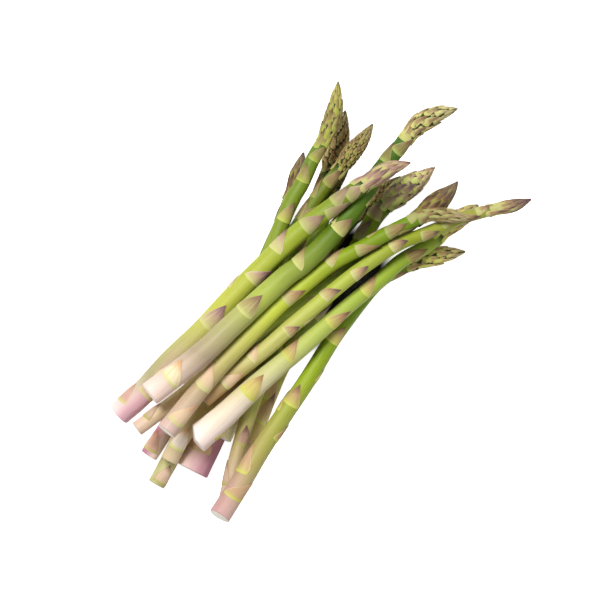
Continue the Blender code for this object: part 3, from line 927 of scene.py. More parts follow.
@dataclass(frozen=True)
class Skin:
    """How one spear's stem is coloured, from the cut butt up to its head.

    The five colours stand at the stops, shares of the way up. The blush lies round the stem at
    its turn, in degrees, and fades out over its reach up the spear. Streaks are darker and
    lighter lines along it. The relief is a strength and a depth.
    """
    butt: str
    low: str
    middle: str
    high: str
    neck: str
    # The core is the head's stem under its scales: partly its own green, partly painted shade for
    # the gaps between them.
    core: str = "2F4A14"
    blush: str = "B98E98"
    stops: tuple[float, float, float, float, float] = (0.0, 0.16, 0.42, 0.68, 0.88)
    blush_amount: float = 0.35
    blush_turn: float = 90.0
    blush_reach: Pair = (0.36, 0.02)
    blush_fade: Pair = (-0.9, 0.8)
    blush_wander: float = 2.4
    light_streak: str = "F4F0DC"
    light_strength: float = 0.3
    light_fade: Pair = (0.5, 0.75)
    light_amount: float = 0.55
    dark_streak: str = "3D5A12"
    dark_strength: float = 0.35
    dark_fade: Pair = (0.48, 0.26)
    dark_amount: float = 0.4
    roughness: Pair = (0.34, 0.56)
    relief: Pair = (0.35, 0.15 * MM)
    subsurface: float = 0.12
    subsurface_radius: tuple[float, float, float] = (1.0, 1.0, 0.4)
    subsurface_scale: float = 1.2 * MM
    refraction: float = 1.42
    shine: float = 0.3

    def material(self, name: str, group: bpy.types.NodeTree, shift: float) -> bpy.types.Material:
        """Make the stem's material.

        Args:
            name: the spear's name.
            group: the skin's pattern.
            shift: moves the pattern, so that no two spears are alike.

        Returns:
            The material.
        """
        made, t, shader = blank_material(name + "_skin")
        pattern = t.add("ShaderNodeGroup", {"Shift": shift}, node_tree=group)
        ramp = t.add("ValToRGB", {0: pattern.outputs["Along"]})
        spots = ramp.color_ramp.elements
        for stop, code in zip(self.stops, (self.butt, self.low, self.middle, self.high, self.neck)):
            spot = spots[0] if stop == 0.0 else spots.new(stop)
            spot.color = paint(code)
        spots.remove(spots[-1])
        colour = t.blend(self.blushed(t, pattern.outputs["Sunny Side"]), ramp.outputs[0],
                         paint(self.blush))
        lighter = t.blend(self.light_strength, colour, paint(self.light_streak), "SOFT_LIGHT")
        darker = t.blend(self.dark_strength, colour, paint(self.dark_streak), "MULTIPLY")
        for limits, amount, streaked in ((self.light_fade, self.light_amount, lighter),
                                         (self.dark_fade, self.dark_amount, darker)):
            streak = t.ramp(pattern.outputs["Streaks"], *limits)
            colour = t.blend(t.times(streak, amount), colour, streaked)
        # Painted shade: the head's stem turns dark green, partly its own colour and partly painted
        # shade in the gaps between the scales.
        colour = t.blend(t.read("spear_head"), colour, paint(self.core))
        t.feed(shader, {
            "Base Color": colour, "Roughness": t.lerp(pattern.outputs["Blotches"], *self.roughness),
            "Normal": t.bump(*self.relief, pattern.outputs["Height"]),
            "Subsurface Weight": self.subsurface, "Subsurface Radius": self.subsurface_radius,
            "Subsurface Scale": self.subsurface_scale, "IOR": self.refraction,
            "Specular IOR Level": self.shine})
        return made

    def blushed(self, t: Tree, sunny: Socket) -> Socket:
        """How much of the blush a point of the stem has.

        Args:
            t: the material's tree.
            sunny: the pattern's unevenness of the sunny side.

        Returns:
            A share, greatest near the butt on the side that the blush is turned to.
        """
        near_butt = t.ramp(t.read("spear_climb"), *self.blush_reach)
        turned = math.radians(self.blush_turn)
        flat = t.vector("MULTIPLY", t.read("spear_skin", "VECTOR"), (1.0, 1.0, 0.0))
        side = t.vector("DOT_PRODUCT", t.vector("NORMALIZE", flat),
                        (math.cos(turned), math.sin(turned), 0.0))
        side = t.times_plus(t.minus(sunny, 0.5), self.blush_wander, side)
        return t.times(t.times(near_butt, t.ramp(side, *self.blush_fade)), self.blush_amount)


@dataclass(frozen=True)
class Scales:
    """How one spear's bracts and head scales are coloured, with the relief's strength and depth."""
    foot: str = "C9D07A"
    body: str = "A8836F"
    tip: str = "7C5A55"
    edge: str = "D8C9A8"
    low_body: str = "E0D98C"
    low_tip: str = "B9774A"
    shade: str = "2C4312"
    head_tint: str = "EDEBC4"
    apex: str = "9A8058"
    blush_low: float = 0.16
    blush_high: float = 0.38
    mottle: float = 0.3
    relief: Pair = (0.6, 0.2 * MM)
    refraction: float = 1.42
    shine: float = 0.22

    def material(self, name: str, group: bpy.types.NodeTree, shift: float) -> bpy.types.Material:
        """Make the scales' material.

        Args:
            name: the spear's name.
            group: the scale's pattern.
            shift: moves the pattern, so that no two spears are alike.

        Returns:
            The material.
        """
        made, t, shader = blank_material(name + "_scales")
        colours = {"Foot": self.foot, "Body": self.body, "Tip": self.tip, "Edge": self.edge,
                   "Low Body": self.low_body, "Low Tip": self.low_tip, "Shade": self.shade,
                   "Head Tint": self.head_tint, "Apex": self.apex}
        pattern = t.add("ShaderNodeGroup", {
            "Blush Low": self.blush_low, "Blush High": self.blush_high, "Mottle": self.mottle,
            "Shift": shift} | {socket: paint(code) for socket, code in colours.items()},
            node_tree=group)
        t.feed(shader, {
            "Base Color": pattern.outputs["Colour"], "Roughness": pattern.outputs["Roughness"],
            "Normal": t.bump(*self.relief, pattern.outputs["Height"]), "IOR": self.refraction,
            "Specular IOR Level": self.shine})
        return made


@dataclass(frozen=True)
class Cut:
    """The cut face of a butt: a pale rim, a moist core and the ends of the fibres.

    The rim's fade is in mm from the centre, and the relief is a strength and a depth.
    """
    rim: str = "FAEFE2"
    core: str = "FFFAEE"
    pith: str = "F8F2DC"
    fibre: str = "EEE6C8"
    fibre_scale: float = 0.85
    fibre_spread: float = 0.85
    fibre_fade: Pair = (0.34, 0.18)
    fibre_amount: float = 0.7
    fibre_relief: float = -0.5
    blotch_grain: float = 0.6
    blotch_detail: float = 3.0
    rim_fade: Pair = (3.6, 7.5)
    relief: Pair = (0.5, 0.2 * MM)
    roughness: float = 0.55

    def material(self) -> bpy.types.Material:
        """Make the material, which all the spears share.

        Returns:
            The material.
        """
        made, t, shader = blank_material("cut_butt")
        x, y, _ = t.parts(t.read("spear_skin", "VECTOR"))
        flat = t.combine(x, y, 0.0)
        dots = t.add("ShaderNodeTexVoronoi", {"Vector": flat, "Scale": self.fibre_scale,
                                              "Randomness": self.fibre_spread})
        spot = t.ramp(dots.outputs["Distance"], *self.fibre_fade)
        blotch = t.noise(flat, self.blotch_grain, self.blotch_detail)
        colour = t.blend(blotch, paint(self.core), paint(self.pith))
        colour = t.blend(t.times(spot, self.fibre_amount), colour, paint(self.fibre))
        edge = t.ramp(t.vector("LENGTH", flat), *self.rim_fade)
        height = t.plus(t.times(spot, self.fibre_relief), blotch)
        t.feed(shader, {"Base Color": t.blend(edge, colour, paint(self.rim)),
                        "Roughness": self.roughness, "Normal": t.bump(*self.relief, height)})
        return made


def smooth_run(points: np.ndarray, steps: int = 16) -> np.ndarray:
    """A smooth curve through the points, as closely spaced positions.

    Args:
        points: the points, one a row.
        steps: how many positions lie on each stretch.

    Returns:
        The positions, one a row.
    """
    padded = np.vstack([2 * points[0] - points[1], points, 2 * points[-1] - points[-2]])
    t = np.linspace(0.0, 1.0, steps, endpoint=False)[:, None]
    runs = []
    for a, b, c, d in zip(padded, padded[1:], padded[2:], padded[3:]):
        runs.append(0.5 * (2 * b + (c - a) * t + (2 * a - 5 * b + 4 * c - d) * t ** 2
                           + (3 * b - a - 3 * c + d) * t ** 3))
    return np.vstack(runs + [points[-1:]])


@dataclass(frozen=True)
class Layout:
    """Where the photograph's layout lies in the model: its centre in mm, and its turn."""
    centre: Point = (5.86, -0.64)
    turn: float = math.radians(-52.0)

    def turned(self, x: float, y: float) -> Point:
        """A pair of the layout's measures, turned into the model's."""
        c, s = math.cos(self.turn), math.sin(self.turn)
        return c * x - s * y, s * x + c * y

    def placed(self, x: float, y: float) -> Point:
        """A layout point in mm, as a plan position in metres."""
        return self.turned((x - self.centre[0]) * MM, (y - self.centre[1]) * MM)

    def heading(self, x: float, y: float) -> Vector:
        """A direction in the layout, as one in the model."""
        return Vector((*self.turned(x, y), 0.0))


@dataclass
class Spear:
    """One spear, along its own route: its diameters, its bracts and its colours.

    The diameters and lengths are in mm. The route is in mm in the layout, from butt to tip, and
    the heights are the centre line's at the butt, halfway and at the tip. Each bract has its
    station in mm, its angle in degrees round the stem from the right-hand side over the top, its
    length in mm and how many degrees its tip leans. A spear in view has all the bracts of its
    upper side given. The slant is how steeply the butt is cut, and where round it in degrees.
    """
    name: str
    butt: float
    middle: float
    neck: float
    head: float
    head_length: float
    first_turn: float
    heights: tuple[float, float, float]
    route: tuple[Point, ...]
    bracts: tuple[Bract, ...]
    skin: Skin
    scales: Scales
    seed: int = 1
    head_style: Head = Head.LONG
    in_view: bool = False
    slant: Pair = (0.0, 0.0)
    layout: Layout = Layout()
    head_fullest: float = 0.4
    head_taper: float = 2.0
    core_inset: float = 1.7
    core_step: float = 4.0
    core_share: float = 0.4
    butt_stations: tuple[float, ...] = (0.0, 0.12, 0.35, 0.8)
    station_start: float = 1.6
    station_step: float = 1.0
    station_room: float = 0.4
    rounding: float = 0.07
    rounding_reach: float = 0.5
    least_radius: float = 0.12
    first_bract: float = 9.0
    low_spacing: float = 32.0
    high_spacing: float = 13.0
    bract_length: float = 12.0
    pattern_step: float = 7.3
    sharp_angle: float = math.radians(48)

    def outline(self, station: float, neck: float) -> float:
        """The stem's outline, a gentle taper and then the head's full ovoid.

        Args:
            station: how far up the spear, in mm.
            neck: the station where the head begins.

        Returns:
            The outer radius in mm.
        """
        if station <= neck:
            return through(self.butt, self.middle, self.neck, station / neck) / 2
        k = min(1.0, (station - neck) / self.head_length)
        if k < self.head_fullest:
            rise = math.sin(k / self.head_fullest * math.pi / 2)
            return (self.neck + (self.head - self.neck) * rise) / 2
        past = (k - self.head_fullest) / (1 - self.head_fullest)
        return self.head * (1 - past ** self.head_taper) / 2

    def core(self, station: float, neck: float) -> float:
        """The stem's own outline, which lies deeper under the scales of the head.

        Args:
            station: how far up the spear, in mm.
            neck: the station where the head begins.

        Returns:
            The radius in mm.
        """
        outer = self.outline(station, neck)
        deeper = min(1.0, max(0.0, (station - neck) / self.core_step))
        inset = min(self.core_inset * deeper, self.core_share * outer)
        rounding = 1.0 - self.rounding * max(0.0, 1.0 - station / self.rounding_reach) ** 2
        return max(self.least_radius, outer - inset) * rounding

    def spine(self) -> tuple[bpy.types.Object, float]:
        """The centre line as a curve that carries the stem's radius.

        Returns:
            The curve object, and the station in metres where the head begins.
        """
        fine = smooth_run(np.array([self.layout.placed(x, y) for x, y in self.route]))
        run = np.concatenate([[0.0], np.cumsum(np.linalg.norm(np.diff(fine, axis=0), axis=1))])
        total = run[-1] / MM
        neck = total - self.head_length
        inner = np.arange(self.station_start, total - self.station_room, self.station_step)
        stations = [*self.butt_stations, *inner, total]
        data = bpy.data.curves.new(self.name + "_spine", "CURVE")
        data.dimensions = "3D"
        spline = data.splines.new("POLY")
        spline.points.add(len(stations) - 1)
        for point, station in zip(spline.points, stations):
            level = through(*self.heights, station / total)
            x, y = (np.interp(station * MM, run, fine[:, axis]) for axis in (0, 1))
            point.co = (x, y, level * MM, 1.0)
            point.radius = self.core(station, neck) * MM
        spine = bpy.data.objects.new(data.name, data)
        bpy.context.scene.collection.objects.link(spine)
        return spine, neck * MM

    def all_bracts(self, neck: float) -> list[Bract]:
        """The bracts that are given, and by the rule those of the sides that nobody sees.

        Args:
            neck: the station in mm where the head begins.

        Returns:
            Station, angle, length and lean of each bract.
        """
        bracts = list(self.bracts)
        station, turn = self.first_bract, self.first_turn
        while station < neck:
            clear = all(abs(station - other[0]) > self.bract_length
                        or math.cos(math.radians(turn - other[1])) < 0 for other in self.bracts)
            if clear and not (self.in_view and math.sin(math.radians(turn)) > 0):
                bracts.append((station, turn, self.bract_length, 0.0))
            station += self.low_spacing + (self.high_spacing - self.low_spacing) * station / neck
            turn += GOLDEN_ANGLE
        return bracts

    def seats(self, neck: float) -> bpy.types.Mesh:
        """The bracts' seats, as loose points that hold each one's station, turn, length and lean.

        Args:
            neck: the station in mm where the head begins.

        Returns:
            The mesh of points.
        """
        bracts = self.all_bracts(neck)
        mesh = bpy.data.meshes.new(self.name)
        mesh.vertices.add(len(bracts))
        units = (MM, math.radians(1), MM, math.radians(1))
        for name, values, unit in zip(("station", "turn", "reach", "lean"), zip(*bracts), units):
            data = mesh.attributes.new(name, "FLOAT", "POINT").data
            data.foreach_set("value", [value * unit for value in values])
        return mesh

    def build(self, tree: bpy.types.NodeTree, patterns: dict[str, bpy.types.NodeTree],
              cut: bpy.types.Material) -> bpy.types.Object:
        """Grow the spear and dress it.

        Args:
            tree: the tree that grows a spear.
            patterns: the shader groups, by name.
            cut: the material of the cut butt.

        Returns:
            The finished object, a plain mesh that replaces the spear's solid.
        """
        spine, neck = self.spine()
        spear = bpy.data.objects.new(self.name + "_dressed", self.seats(neck / MM))
        bpy.context.scene.collection.objects.link(spear)
        grow = spear.modifiers.new("Grow", "NODES")
        grow.node_group = tree
        shift = self.pattern_step * self.seed
        values = {
            "Spine": spine, "Neck": neck, "First Turn": math.radians(self.first_turn),
            "Seed": self.seed, "Cut Slant": self.slant[0], "Cut Turn": math.radians(self.slant[1]),
            "Skin": self.skin.material(self.name, patterns["skin"], shift),
            "Scales": self.scales.material(self.name, patterns["scale"], shift), "Cut": cut,
        } | self.head_style.value
        for item in tree.interface.items_tree:
            if item.item_type == "SOCKET" and item.in_out == "INPUT" and item.name in values:
                grow[item.identifier] = values[item.name]
        bpy.context.view_layer.update()
        evaluated = spear.evaluated_get(bpy.context.evaluated_depsgraph_get())
        grown = bpy.data.meshes.new_from_object(evaluated)
        spear.modifiers.clear()
        spear.data = grown
        grown.name = self.name + "_dressed"
        bpy.data.curves.remove(spine.data)
        grown.set_sharp_from_angle(angle=self.sharp_angle)
        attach(spear, "root")
        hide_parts(self.name)
        LOG.info("%s: %d faces", spear.name, len(grown.polygons))
        return spear


IVORY = Skin(butt="FDE8DE", low="CEC498", middle="AEBA58", high="90A930", neck="889C2E",
             blush="F0DAD4", blush_amount=0.75, blush_turn=0)
# Painted shade: the high stop is dark green partly for the shadow that spear_top_1 casts on the
# upper stem of spear_top_2, which alone wears this skin.
CREAM = Skin(butt="F1D5C8", low="A8967A", middle="A6B24C", high="547010", neck="3E631C",
             blush="C7A9A6", blush_amount=0.5, stops=(0.0, 0.15, 0.34, 0.57, 0.88))
BLUSHING = Skin(butt="FAE0D8", low="AAA278", middle="BBBC4F", high="92A22C", neck="58700F",
                blush="D69CB2", blush_amount=0.75, blush_turn=0,
                stops=(0.0, 0.14, 0.36, 0.68, 0.88))
SANDY = Skin(butt="CDB0A4", low="B09C70", middle="BCC640", high="7E9415", neck="668514",
             blush="C49C96")
OLIVE = Skin(butt="AA865F", low="BCB46D", middle="AFBA4B", high="8B9621", neck="999644",
             blush="A47E5E")
LEAFY = Skin(butt="CCA69E", low="AA9E59", middle="92A524", high="718F0F", neck="79891F",
             blush="B58488", blush_amount=0.5, blush_turn=180)
ROSY = Skin(butt="FBE2D6", low="CBA276", middle="9AA442", high="74871F", neck="697120",
            blush="BA728E", blush_amount=0.9, blush_turn=0)
TAN = Skin(butt="CFB29F", low="BEAC6C", middle="98A640", high="6C841E", neck="5E7620",
           blush="B08074")
FRESH = Skin(butt="CDB896", low="B7AC68", middle="9FA842", high="758A21", neck="5E7624",
             blush="B8987A")
MOSS = Skin(butt="B89468", low="C0AE5C", middle="9CAC42", high="84951C", neck="5E7622",
            blush="A07C60")

PALE = Scales(foot="C6CE5C", body="AE9468", tip="7E5E4C", edge="D8C896", low_body="F0E2D2",
              low_tip="CF9A66", head_tint="CCCCB6", apex="B4AA66")
RUSTY = Scales(foot="C6CA5A", body="AE8C64", tip="7A563E", edge="DCC89A", low_body="D6BA98",
               low_tip="C29472", head_tint="E0DCC4", apex="A2906E")
MAUVE = Scales(foot="CAD070", body="B49280", tip="7C5460", edge="DEC8AE", low_body="CEA598",
               low_tip="BE9080", head_tint="E6E0DA", apex="AA8876")
BUFF = Scales(foot="C0C064", body="AA8A66", tip="745440", edge="DCC8A0", low_body="E0B49C",
              low_tip="B87850", head_tint="D4D0B8", apex="A8986E")
DARK = Scales(foot="A4A44A", body="82604C", tip="54383A", edge="B09A72", low_body="C0A48E",
              low_tip="8A5A4C", head_tint="DCD6C4", apex="80705E")


SPEARS = (
    Spear(
        name="spear_left_1", butt=9.6, middle=9.2, neck=8.0, head=10.0, head_length=27,
        first_turn=20, heights=(4.61, 4.61, 4.61),
        route=((-79, -101.5), (-65.5, -77.5), (-54, -55), (-40.5, -27.5), (-28, 0.5), (-16, 29),
               (-10.5, 41.5), (-4.2, 59), (-0.9, 70.5), (2, 81)),
        bracts=((2, 60, 11, 15), (160, 150, 11, -20)),
        skin=replace(FRESH, butt="B8B080", low="C4C478"),
        scales=replace(DARK, low_body="D2B49C"),
        seed=1, head_style=Head.CLOSED),
    Spear(
        name="spear_left_3", butt=18.0, middle=12.5, neck=9.4, head=13.6, head_length=39,
        first_turn=75, heights=(8.15, 6.58, 6.01),
        route=((-59, -94), (-50.5, -77.5), (-41, -58), (-27.5, -28), (-14, -0.5), (-1, 27),
               (11, 56), (20, 83), (23, 95.5), (25, 104.5)),
        bracts=((12, 120, 15, 10), (156, 60, 12, 15), (166, 150, 12, 0)),
        skin=replace(ROSY, low="E2B88A", middle="B4C04E", high="8EA42A"),
        scales=replace(RUSTY, foot="C8B880", low_body="F0B8A2", head_tint="F6F0DC"),
        seed=2, head_style=Head.KNOBBLY),
    Spear(
        name="spear_mid_1", butt=9.0, middle=8.8, neck=8.2, head=10.4, head_length=33,
        first_turn=245, heights=(19.3, 9.9, 3.5),
        route=((-42, -76.5), (-31, -54.5), (-17.5, -29), (-1.5, -2), (12, 21), (20.5, 34.5),
               (27, 42.5), (33, 49), (40, 55), (46.5, 60.5), (55.5, 68)),
        bracts=((126, 60, 11, 0), (138, 130, 11, 0)),
        # Painted light: the butt and the low stem are painted near white, so that they look lit
        # though they lie in the heap's shade.
        skin=replace(FRESH, butt="FFF8C8", low="FFF6B4"),
        scales=DARK,
        seed=3, head_style=Head.KNOBBLY),
    Spear(
        name="spear_mid_2", butt=10.4, middle=10.4, neck=9.6, head=14.8, head_length=37,
        first_turn=310, heights=(4.67, 8.77, 13.86),
        route=((-33.5, -91), (-28.5, -78), (-23.3, -66), (-17, -51), (-10.7, -36.5), (-2, -22),
               (7, -8), (16.5, 5.5), (25.5, 18.5), (32, 29), (37, 38.5), (42.3, 46.7), (50.3, 54.8),
               (58.5, 61.2), (66.5, 66.5), (74, 72.5)),
        bracts=((27, 55, 18, 0), (141, 150, 13, -50), (155, 106, 11, 13), (165, 77, 13, 22)),
        skin=replace(MOSS, low="DCCC74"),
        scales=replace(MAUVE, foot="D2DA78", low_body="DCBC80", low_tip="B07C44", tip="6C4E62",
                       head_tint="FFFFF0"),
        seed=4, head_style=Head.LONG),
    Spear(
        name="spear_left_5", butt=8.4, middle=8.6, neck=8.6, head=10.0, head_length=27,
        first_turn=160, heights=(28.0, 20.69, 13.38),
        route=((-40.5, -110.5), (-38, -100.5), (-32.5, -79), (-26, -57), (-15, -28.5), (-4, -0.5),
               (6.5, 27), (17, 59), (21.5, 70), (27.5, 83.5)),
        bracts=((4, 55, 12, 20), (32, 60, 12, 20)),
        skin=replace(TAN, low="A69860", middle="AEBC4A", high="80961F"),
        scales=DARK,
        seed=5, head_style=Head.KNOBBLY),
    Spear(
        name="spear_left_4", butt=9.8, middle=8.6, neck=7.6, head=11.0, head_length=33,
        first_turn=35, heights=(7.09, 17.17, 27.24),
        route=((-83, -85.5), (-73.5, -71), (-55, -42.5), (-33, -8.5), (-16.5, 17), (2, 44.5),
               (13, 60), (21, 69.5), (27.5, 78.5), (34, 86.5), (40, 95.5)),
        bracts=((3, 110, 13, 20), (156, 50, 11, -10), (168, 170, 11, 0), (178, 80, 11, 10)),
        skin=replace(ROSY, blush_turn=180),
        scales=BUFF,
        seed=6, head_style=Head.KNOBBLY),
    Spear(
        name="spear_left_2", butt=9.9, middle=9.2, neck=7.8, head=11.0, head_length=37,
        first_turn=120, heights=(16.77, 26.67, 30.57),
        route=((-71.5, -88.5), (-64.5, -75.5), (-50.5, -56), (-38.5, -29.5), (-26, -1), (-10.3, 40),
               (-3.8, 54.5), (1, 62.5), (7.3, 76.3), (13.5, 87.2), (18.5, 100.5), (21, 118.5)),
        bracts=((8, 80, 13, 0), (146, 77, 11, -14), (170, 101, 10, 24), (183, 68, 11, -13),
                (193, 102, 9, -7)),
        skin=FRESH,
        scales=PALE,
        seed=7, head_style=Head.LONG),
    Spear(
        name="spear_mid_3", butt=8.2, middle=8.0, neck=7.8, head=13.0, head_length=31,
        first_turn=200, heights=(36.11, 28.01, 13.92),
        route=((-88.8, -71.5), (-66, -54.5), (-44, -37), (-22, -20.5), (0, -3.5), (22, 13.5),
               (38.5, 26), (55.5, 37.5), (68, 47), (81.5, 58.5), (86.5, 64.5)),
        bracts=((8, 150, 10, 0), (174, 100, 12, 0)),
        skin=replace(TAN, low="E0D090", middle="AEBC4E"),
        scales=DARK,
        seed=8, head_style=Head.CLOSED),
    Spear(
        name="spear_right", butt=12.2, middle=9.6, neck=8.2, head=11.4, head_length=31,
        first_turn=280, heights=(40.89, 18.79, 2.68),
        route=((-43.8, -119), (-31.3, -99), (-22, -83.5), (-10.5, -66), (4, -44.5), (17.5, -22.5),
               (29.5, -6), (40.5, 7.5), (49.5, 14.5), (59, 19), (69, 22.5), (80, 25), (91, 26.5)),
        bracts=((13, 82, 12, -70), (28, 143, 15, -5), (53, 0, 11, 0), (74, 97, 13, 19),
                (116, 79, 12, -22), (166, 25, 11, 6)),
        skin=LEAFY,
        scales=replace(RUSTY, low_body="BC9A76", head_tint="FFFFF2", apex="B8A682"),
        seed=9, head_style=Head.LOOSE, in_view=True),
    Spear(
        name="spear_top_5", butt=15.2, middle=9.6, neck=8.2, head=11.0, head_length=29,
        first_turn=330, heights=(38.98, 26.32, 7.66),
        route=((-57, -78), (-41, -64), (-27.5, -51), (-11, -36.5), (0, -27.5), (14, -15),
               (27.5, -3), (44, 10.5), (55, 20.5), (69, 29), (82.5, 40.5), (98, 52)),
        bracts=((38, 84, 15, 29), (68, 107, 13, 60), (98, 62, 13, -21), (124, 99, 12, 46),
                (155, 76, 12, -2)),
        skin=IVORY,
        scales=replace(RUSTY, low_body="DCD670", low_tip="C08C50", head_tint="FFFFF0"),
        seed=10, head_style=Head.LONG, in_view=True, slant=(0.7, 180), head_taper=3.2),
    Spear(
        name="spear_top_4", butt=9.4, middle=8.2, neck=6.4, head=8.6, head_length=24, first_turn=55,
        heights=(37.15, 32.01, 20.88),
        route=((-52.5, -55.5), (-36, -41.5), (-19.5, -28.5), (0, -11.5), (27.5, 11.5), (44, 23.5),
               (55, 30), (66, 34.5), (77, 39), (88, 43.7), (99, 46.9), (110, 49.4), (118.5, 51.4),
               (126.5, 54.4)),
        bracts=((14, 65, 12, -18), (34, 119, 9, 44), (58, 62, 8, -6), (86, 116, 11, -50),
                (106, 60, 10, 20), (132, 100, 10, -20), (150, 50, 10, 10), (163, 120, 10, -10),
                (174, 60, 10, 0), (183, 130, 9, 0)),
        skin=OLIVE,
        scales=replace(RUSTY, foot="C8CC84", tip="66484E", apex="5E4656", head_tint="ECEAE0"),
        seed=11, head_style=Head.CLOSED, in_view=True),
    Spear(
        name="spear_top_3", butt=11.1, middle=9.0, neck=7.2, head=9.0, head_length=27,
        first_turn=95, heights=(49.38, 37.95, 32.51),
        route=((-72.5, -73), (-55, -51), (-44, -38), (-33, -26.5), (-22, -15), (-11, -4), (0, 5),
               (16.5, 18), (33, 27), (44, 33), (55, 39), (66, 44), (74.5, 45.5), (93.5, 43)),
        bracts=((7, 76, 14, -45), (31, 81, 14, 43), (97, 88, 13, -45), (128, 126, 12, 50),
                (145, 67, 12, -50), (164, 82, 12, 4), (178, 128, 9, 21), (183, 54, 10, 30)),
        skin=SANDY,
        scales=replace(RUSTY, foot="C0C47C", head_tint="D0CEC0", apex="BEAC84"),
        seed=12, head_style=Head.LOOSE, in_view=True),
    Spear(
        name="spear_top_1", butt=13.6, middle=12.2, neck=9.2, head=11.0, head_length=30,
        first_turn=150, heights=(19.55, 36.41, 47.27),
        route=((-99.3, -63), (-86, -51.5), (-70.3, -34.3), (-53, -17.7), (-37.7, -1), (-29, 8),
               (-20.8, 16.3), (-11, 26), (-0.5, 35.5), (11, 44.5), (27.5, 56.5), (36, 62), (44, 67),
               (49.5, 70), (60, 73)),
        bracts=((6, 165, 14, -20), (18, 54, 9, -3), (69, 84, 17, 9), (104, 68, 12, -38),
                (125, 130, 13, 24), (145, 87, 14, -20), (159, 32, 15, 4), (166, 119, 12, 18),
                (174, 77, 11, 1)),
        skin=BLUSHING,
        scales=replace(MAUVE, foot="CACE7C", low_body="C8A090"),
        seed=13, head_style=Head.CLOSED, in_view=True),
    Spear(
        name="spear_top_2", butt=13.4, middle=11.6, neck=8.4, head=12.6, head_length=34,
        first_turn=225, heights=(53.55, 41.58, 23.6),
        route=((-81.5, -53), (-54.5, -32), (-38, -16.5), (-10, 9.5), (1.2, 18), (12.2, 28.3),
               (28.3, 46.5), (36.5, 59), (46, 72.5), (54, 82), (62, 92.5), (70, 98), (77.5, 101.5),
               (86.5, 104)),
        bracts=((13, 81, 14, 55), (68, 108, 13, -22), (107, 125, 12, 45), (136, 73, 10, -18),
                (183, 135, 11, 29), (191, 73, 11, -34), (199, 104, 10, 9)),
        skin=CREAM,
        # The darker body is partly the bracts' own brown and partly painted shade for the shaded
        # upper bracts.
        scales=replace(PALE, foot="C8CC78", body="9C8A5C", low_body="E8D8B2", head_tint="F8F2EE",
                       apex="CCC294"),
        seed=14, head_style=Head.LOOSE, in_view=True),
)


@dataclass(frozen=True)
class Lamp:
    """A round soft light that shines at the middle of the table, its place in metres."""
    name: str
    toward: Point
    height: float
    size: float
    power: float

    def build(self, layout: Layout) -> None:
        """Hang the lamp.

        Args:
            layout: turns its place from the photograph's layout into the model.
        """
        data = bpy.data.lights.new(self.name, "AREA")
        data.shape = "DISK"
        data.size = self.size
        data.energy = self.power
        lamp = bpy.data.objects.new(self.name, data)
        lamp.location = layout.heading(*self.toward) + Vector((0, 0, self.height))
        lamp.rotation_euler = (-lamp.location).to_track_quat("-Z", "Y").to_euler()
        bpy.context.scene.collection.objects.link(lamp)


@dataclass(frozen=True)
class Table:
    """The plain white table, with painted shade in the deep gaps of the heap.

    The gaps are painted near black as shade, and stop glowing, inside an ellipse whose centre and
    half axes are in the layout's mm, and only where little of the open sky is seen within reach.
    """
    size: float = 6.0
    colour: Colour = (0.95, 0.95, 0.95, 1.0)
    glow: float = 0.9
    roughness: float = 0.9
    shine: float = 0.1
    gap_painted_shade: Colour = (0.03, 0.03, 0.025, 1.0)
    gap_centre: Point = (15.0, 7.0)
    gap_axes: Pair = (46.0, 30.0)
    gap_slope: float = math.radians(45)
    gap_fade: Pair = (0.74, 1.0)
    sky_reach: float = 60 * MM
    sky_fade: Pair = (0.28, 0.5)
    sky_samples: int = 32

    def build(self, layout: Layout) -> bpy.types.Object:
        """Make the table.

        Args:
            layout: turns the gaps' place from the photograph's layout into the model.

        Returns:
            The table, a stage object.
        """
        mesh = bpy.data.meshes.new("table")
        bm = bmesh.new()
        bmesh.ops.create_grid(bm, x_segments=1, y_segments=1, size=self.size / 2)
        bm.to_mesh(mesh)
        bm.free()
        table = bpy.data.objects.new("table", mesh)
        bpy.context.scene.collection.objects.link(table)
        mesh.materials.append(self.material(layout))
        return table

    def material(self, layout: Layout) -> bpy.types.Material:
        """Make the table's material, which glows towards the camera except in the gaps, which are
        painted near black as shade.

        Args:
            layout: turns the gaps' place from the photograph's layout into the model.

        Returns:
            The material.
        """
        made, t, shader = blank_material("white_table")
        seen = t.add("LightPath").outputs["Is Camera Ray"]
        here = t.add("TexCoord").outputs["Object"]
        from_centre = t.vector("SUBTRACT", here, (*layout.placed(*self.gap_centre), 0.0))
        c, s = math.cos(self.gap_slope), math.sin(self.gap_slope)
        shares = [t.vector("DOT_PRODUCT", from_centre, tuple(layout.heading(*way) / (axis * MM)))
                  for way, axis in zip(((c, s), (-s, c)), self.gap_axes)]
        away = t.vector("LENGTH", t.combine(*shares, 0.0))
        open_sky = t.add("AmbientOcclusion", {"Distance": self.sky_reach},
                         samples=self.sky_samples).outputs["AO"]
        # Painted shade: where this mask is low, the table takes the near-black gap colour and no
        # glow.
        unshaded = t.most(t.ramp(away, *self.gap_fade), t.ramp(open_sky, *self.sky_fade))
        t.feed(shader, {"Base Color": t.blend(unshaded, self.gap_painted_shade, self.colour),
                        "Roughness": self.roughness, "Specular IOR Level": self.shine,
                        "Emission Color": WHITE,
                        "Emission Strength": t.times(t.times(seen, unshaded), self.glow)})
        return made


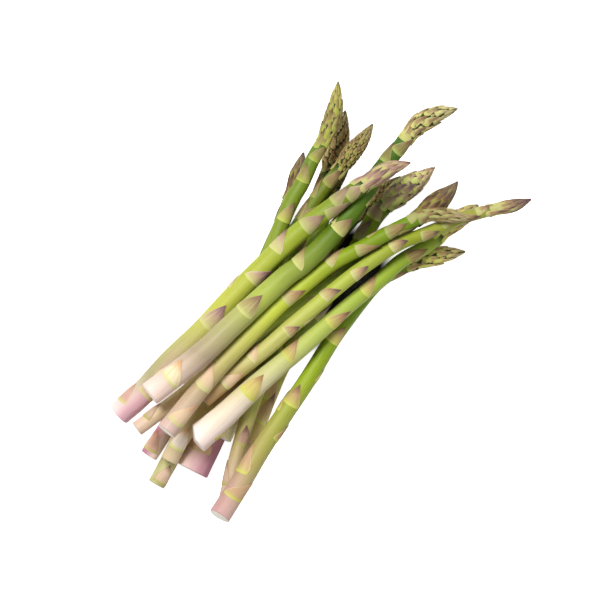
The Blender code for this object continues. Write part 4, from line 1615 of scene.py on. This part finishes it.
@dataclass(frozen=True)
class Camera:
    """A long lens almost straight above the bunch."""
    frame_width: float = 330 * MM
    distance: float = 3.5
    elevation: float = math.radians(88)
    sensor: float = 36.0
    clip_end: float = 100.0

    def build(self, layout: Layout) -> bpy.types.Object:
        """Set up the camera over the layout's origin, its frame upright in the layout.

        Args:
            layout: turns the photograph's layout into the model.

        Returns:
            The camera, in use.
        """
        data = bpy.data.cameras.new("camera")
        data.sensor_width = self.sensor
        data.lens = self.sensor * self.distance / self.frame_width
        data.clip_end = self.clip_end
        camera = bpy.data.objects.new("camera", data)
        up, right = layout.heading(0.0, 1.0), layout.heading(1.0, 0.0)
        back = -math.cos(self.elevation) * up + math.sin(self.elevation) * Vector((0, 0, 1))
        place = Vector((*layout.placed(0.0, 0.0), 0.0)) + back * self.distance
        above = back.cross(right)
        camera.matrix_world = Matrix((
            (right.x, above.x, back.x, place.x), (right.y, above.y, back.y, place.y),
            (right.z, above.z, back.z, place.z), (0, 0, 0, 1)))
        bpy.context.scene.collection.objects.link(camera)
        bpy.context.scene.camera = camera
        return camera


@dataclass
class Studio:
    """The table, the soft lights and the camera above the bunch."""
    layout: Layout = Layout()
    table: Table = Table()
    key: Lamp = Lamp("key", toward=(-0.5, 0.6), height=1.45, size=0.7, power=29.8)
    fill: Lamp = Lamp("fill", toward=(0.8, -0.5), height=1.2, size=1.2, power=5.5)
    room_glow: float = 0.225
    camera: Camera = Camera()

    def build(self) -> None:
        """Set up the whole studio."""
        self.table.build(self.layout)
        self.room()
        self.key.build(self.layout)
        self.fill.build(self.layout)
        self.camera.build(self.layout)
        bpy.context.scene.view_settings.view_transform = "Standard"

    def room(self) -> None:
        """A room that lights the bunch faintly and shows white behind it."""
        world = bpy.data.worlds.new("room")
        world.use_nodes = True
        t = Tree(world.node_tree)
        seen = t.add("LightPath").outputs["Is Camera Ray"]
        t.feed(world.node_tree.nodes["Background"], {
            "Color": WHITE, "Strength": t.lerp(seen, self.room_glow, 1.0)})
        bpy.context.scene.world = world


def main() -> None:
    """Load the frame, build the studio and every spear."""
    logging.basicConfig(level=logging.INFO, format="%(message)s")
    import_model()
    Studio().build()
    tree = SpearTree().build()
    patterns = {"skin": SkinPattern().build(), "scale": ScalePattern().build()}
    cut = Cut().material()
    for spear in SPEARS:
        spear.build(tree, patterns, cut)


if __name__ == "__main__":
    main()
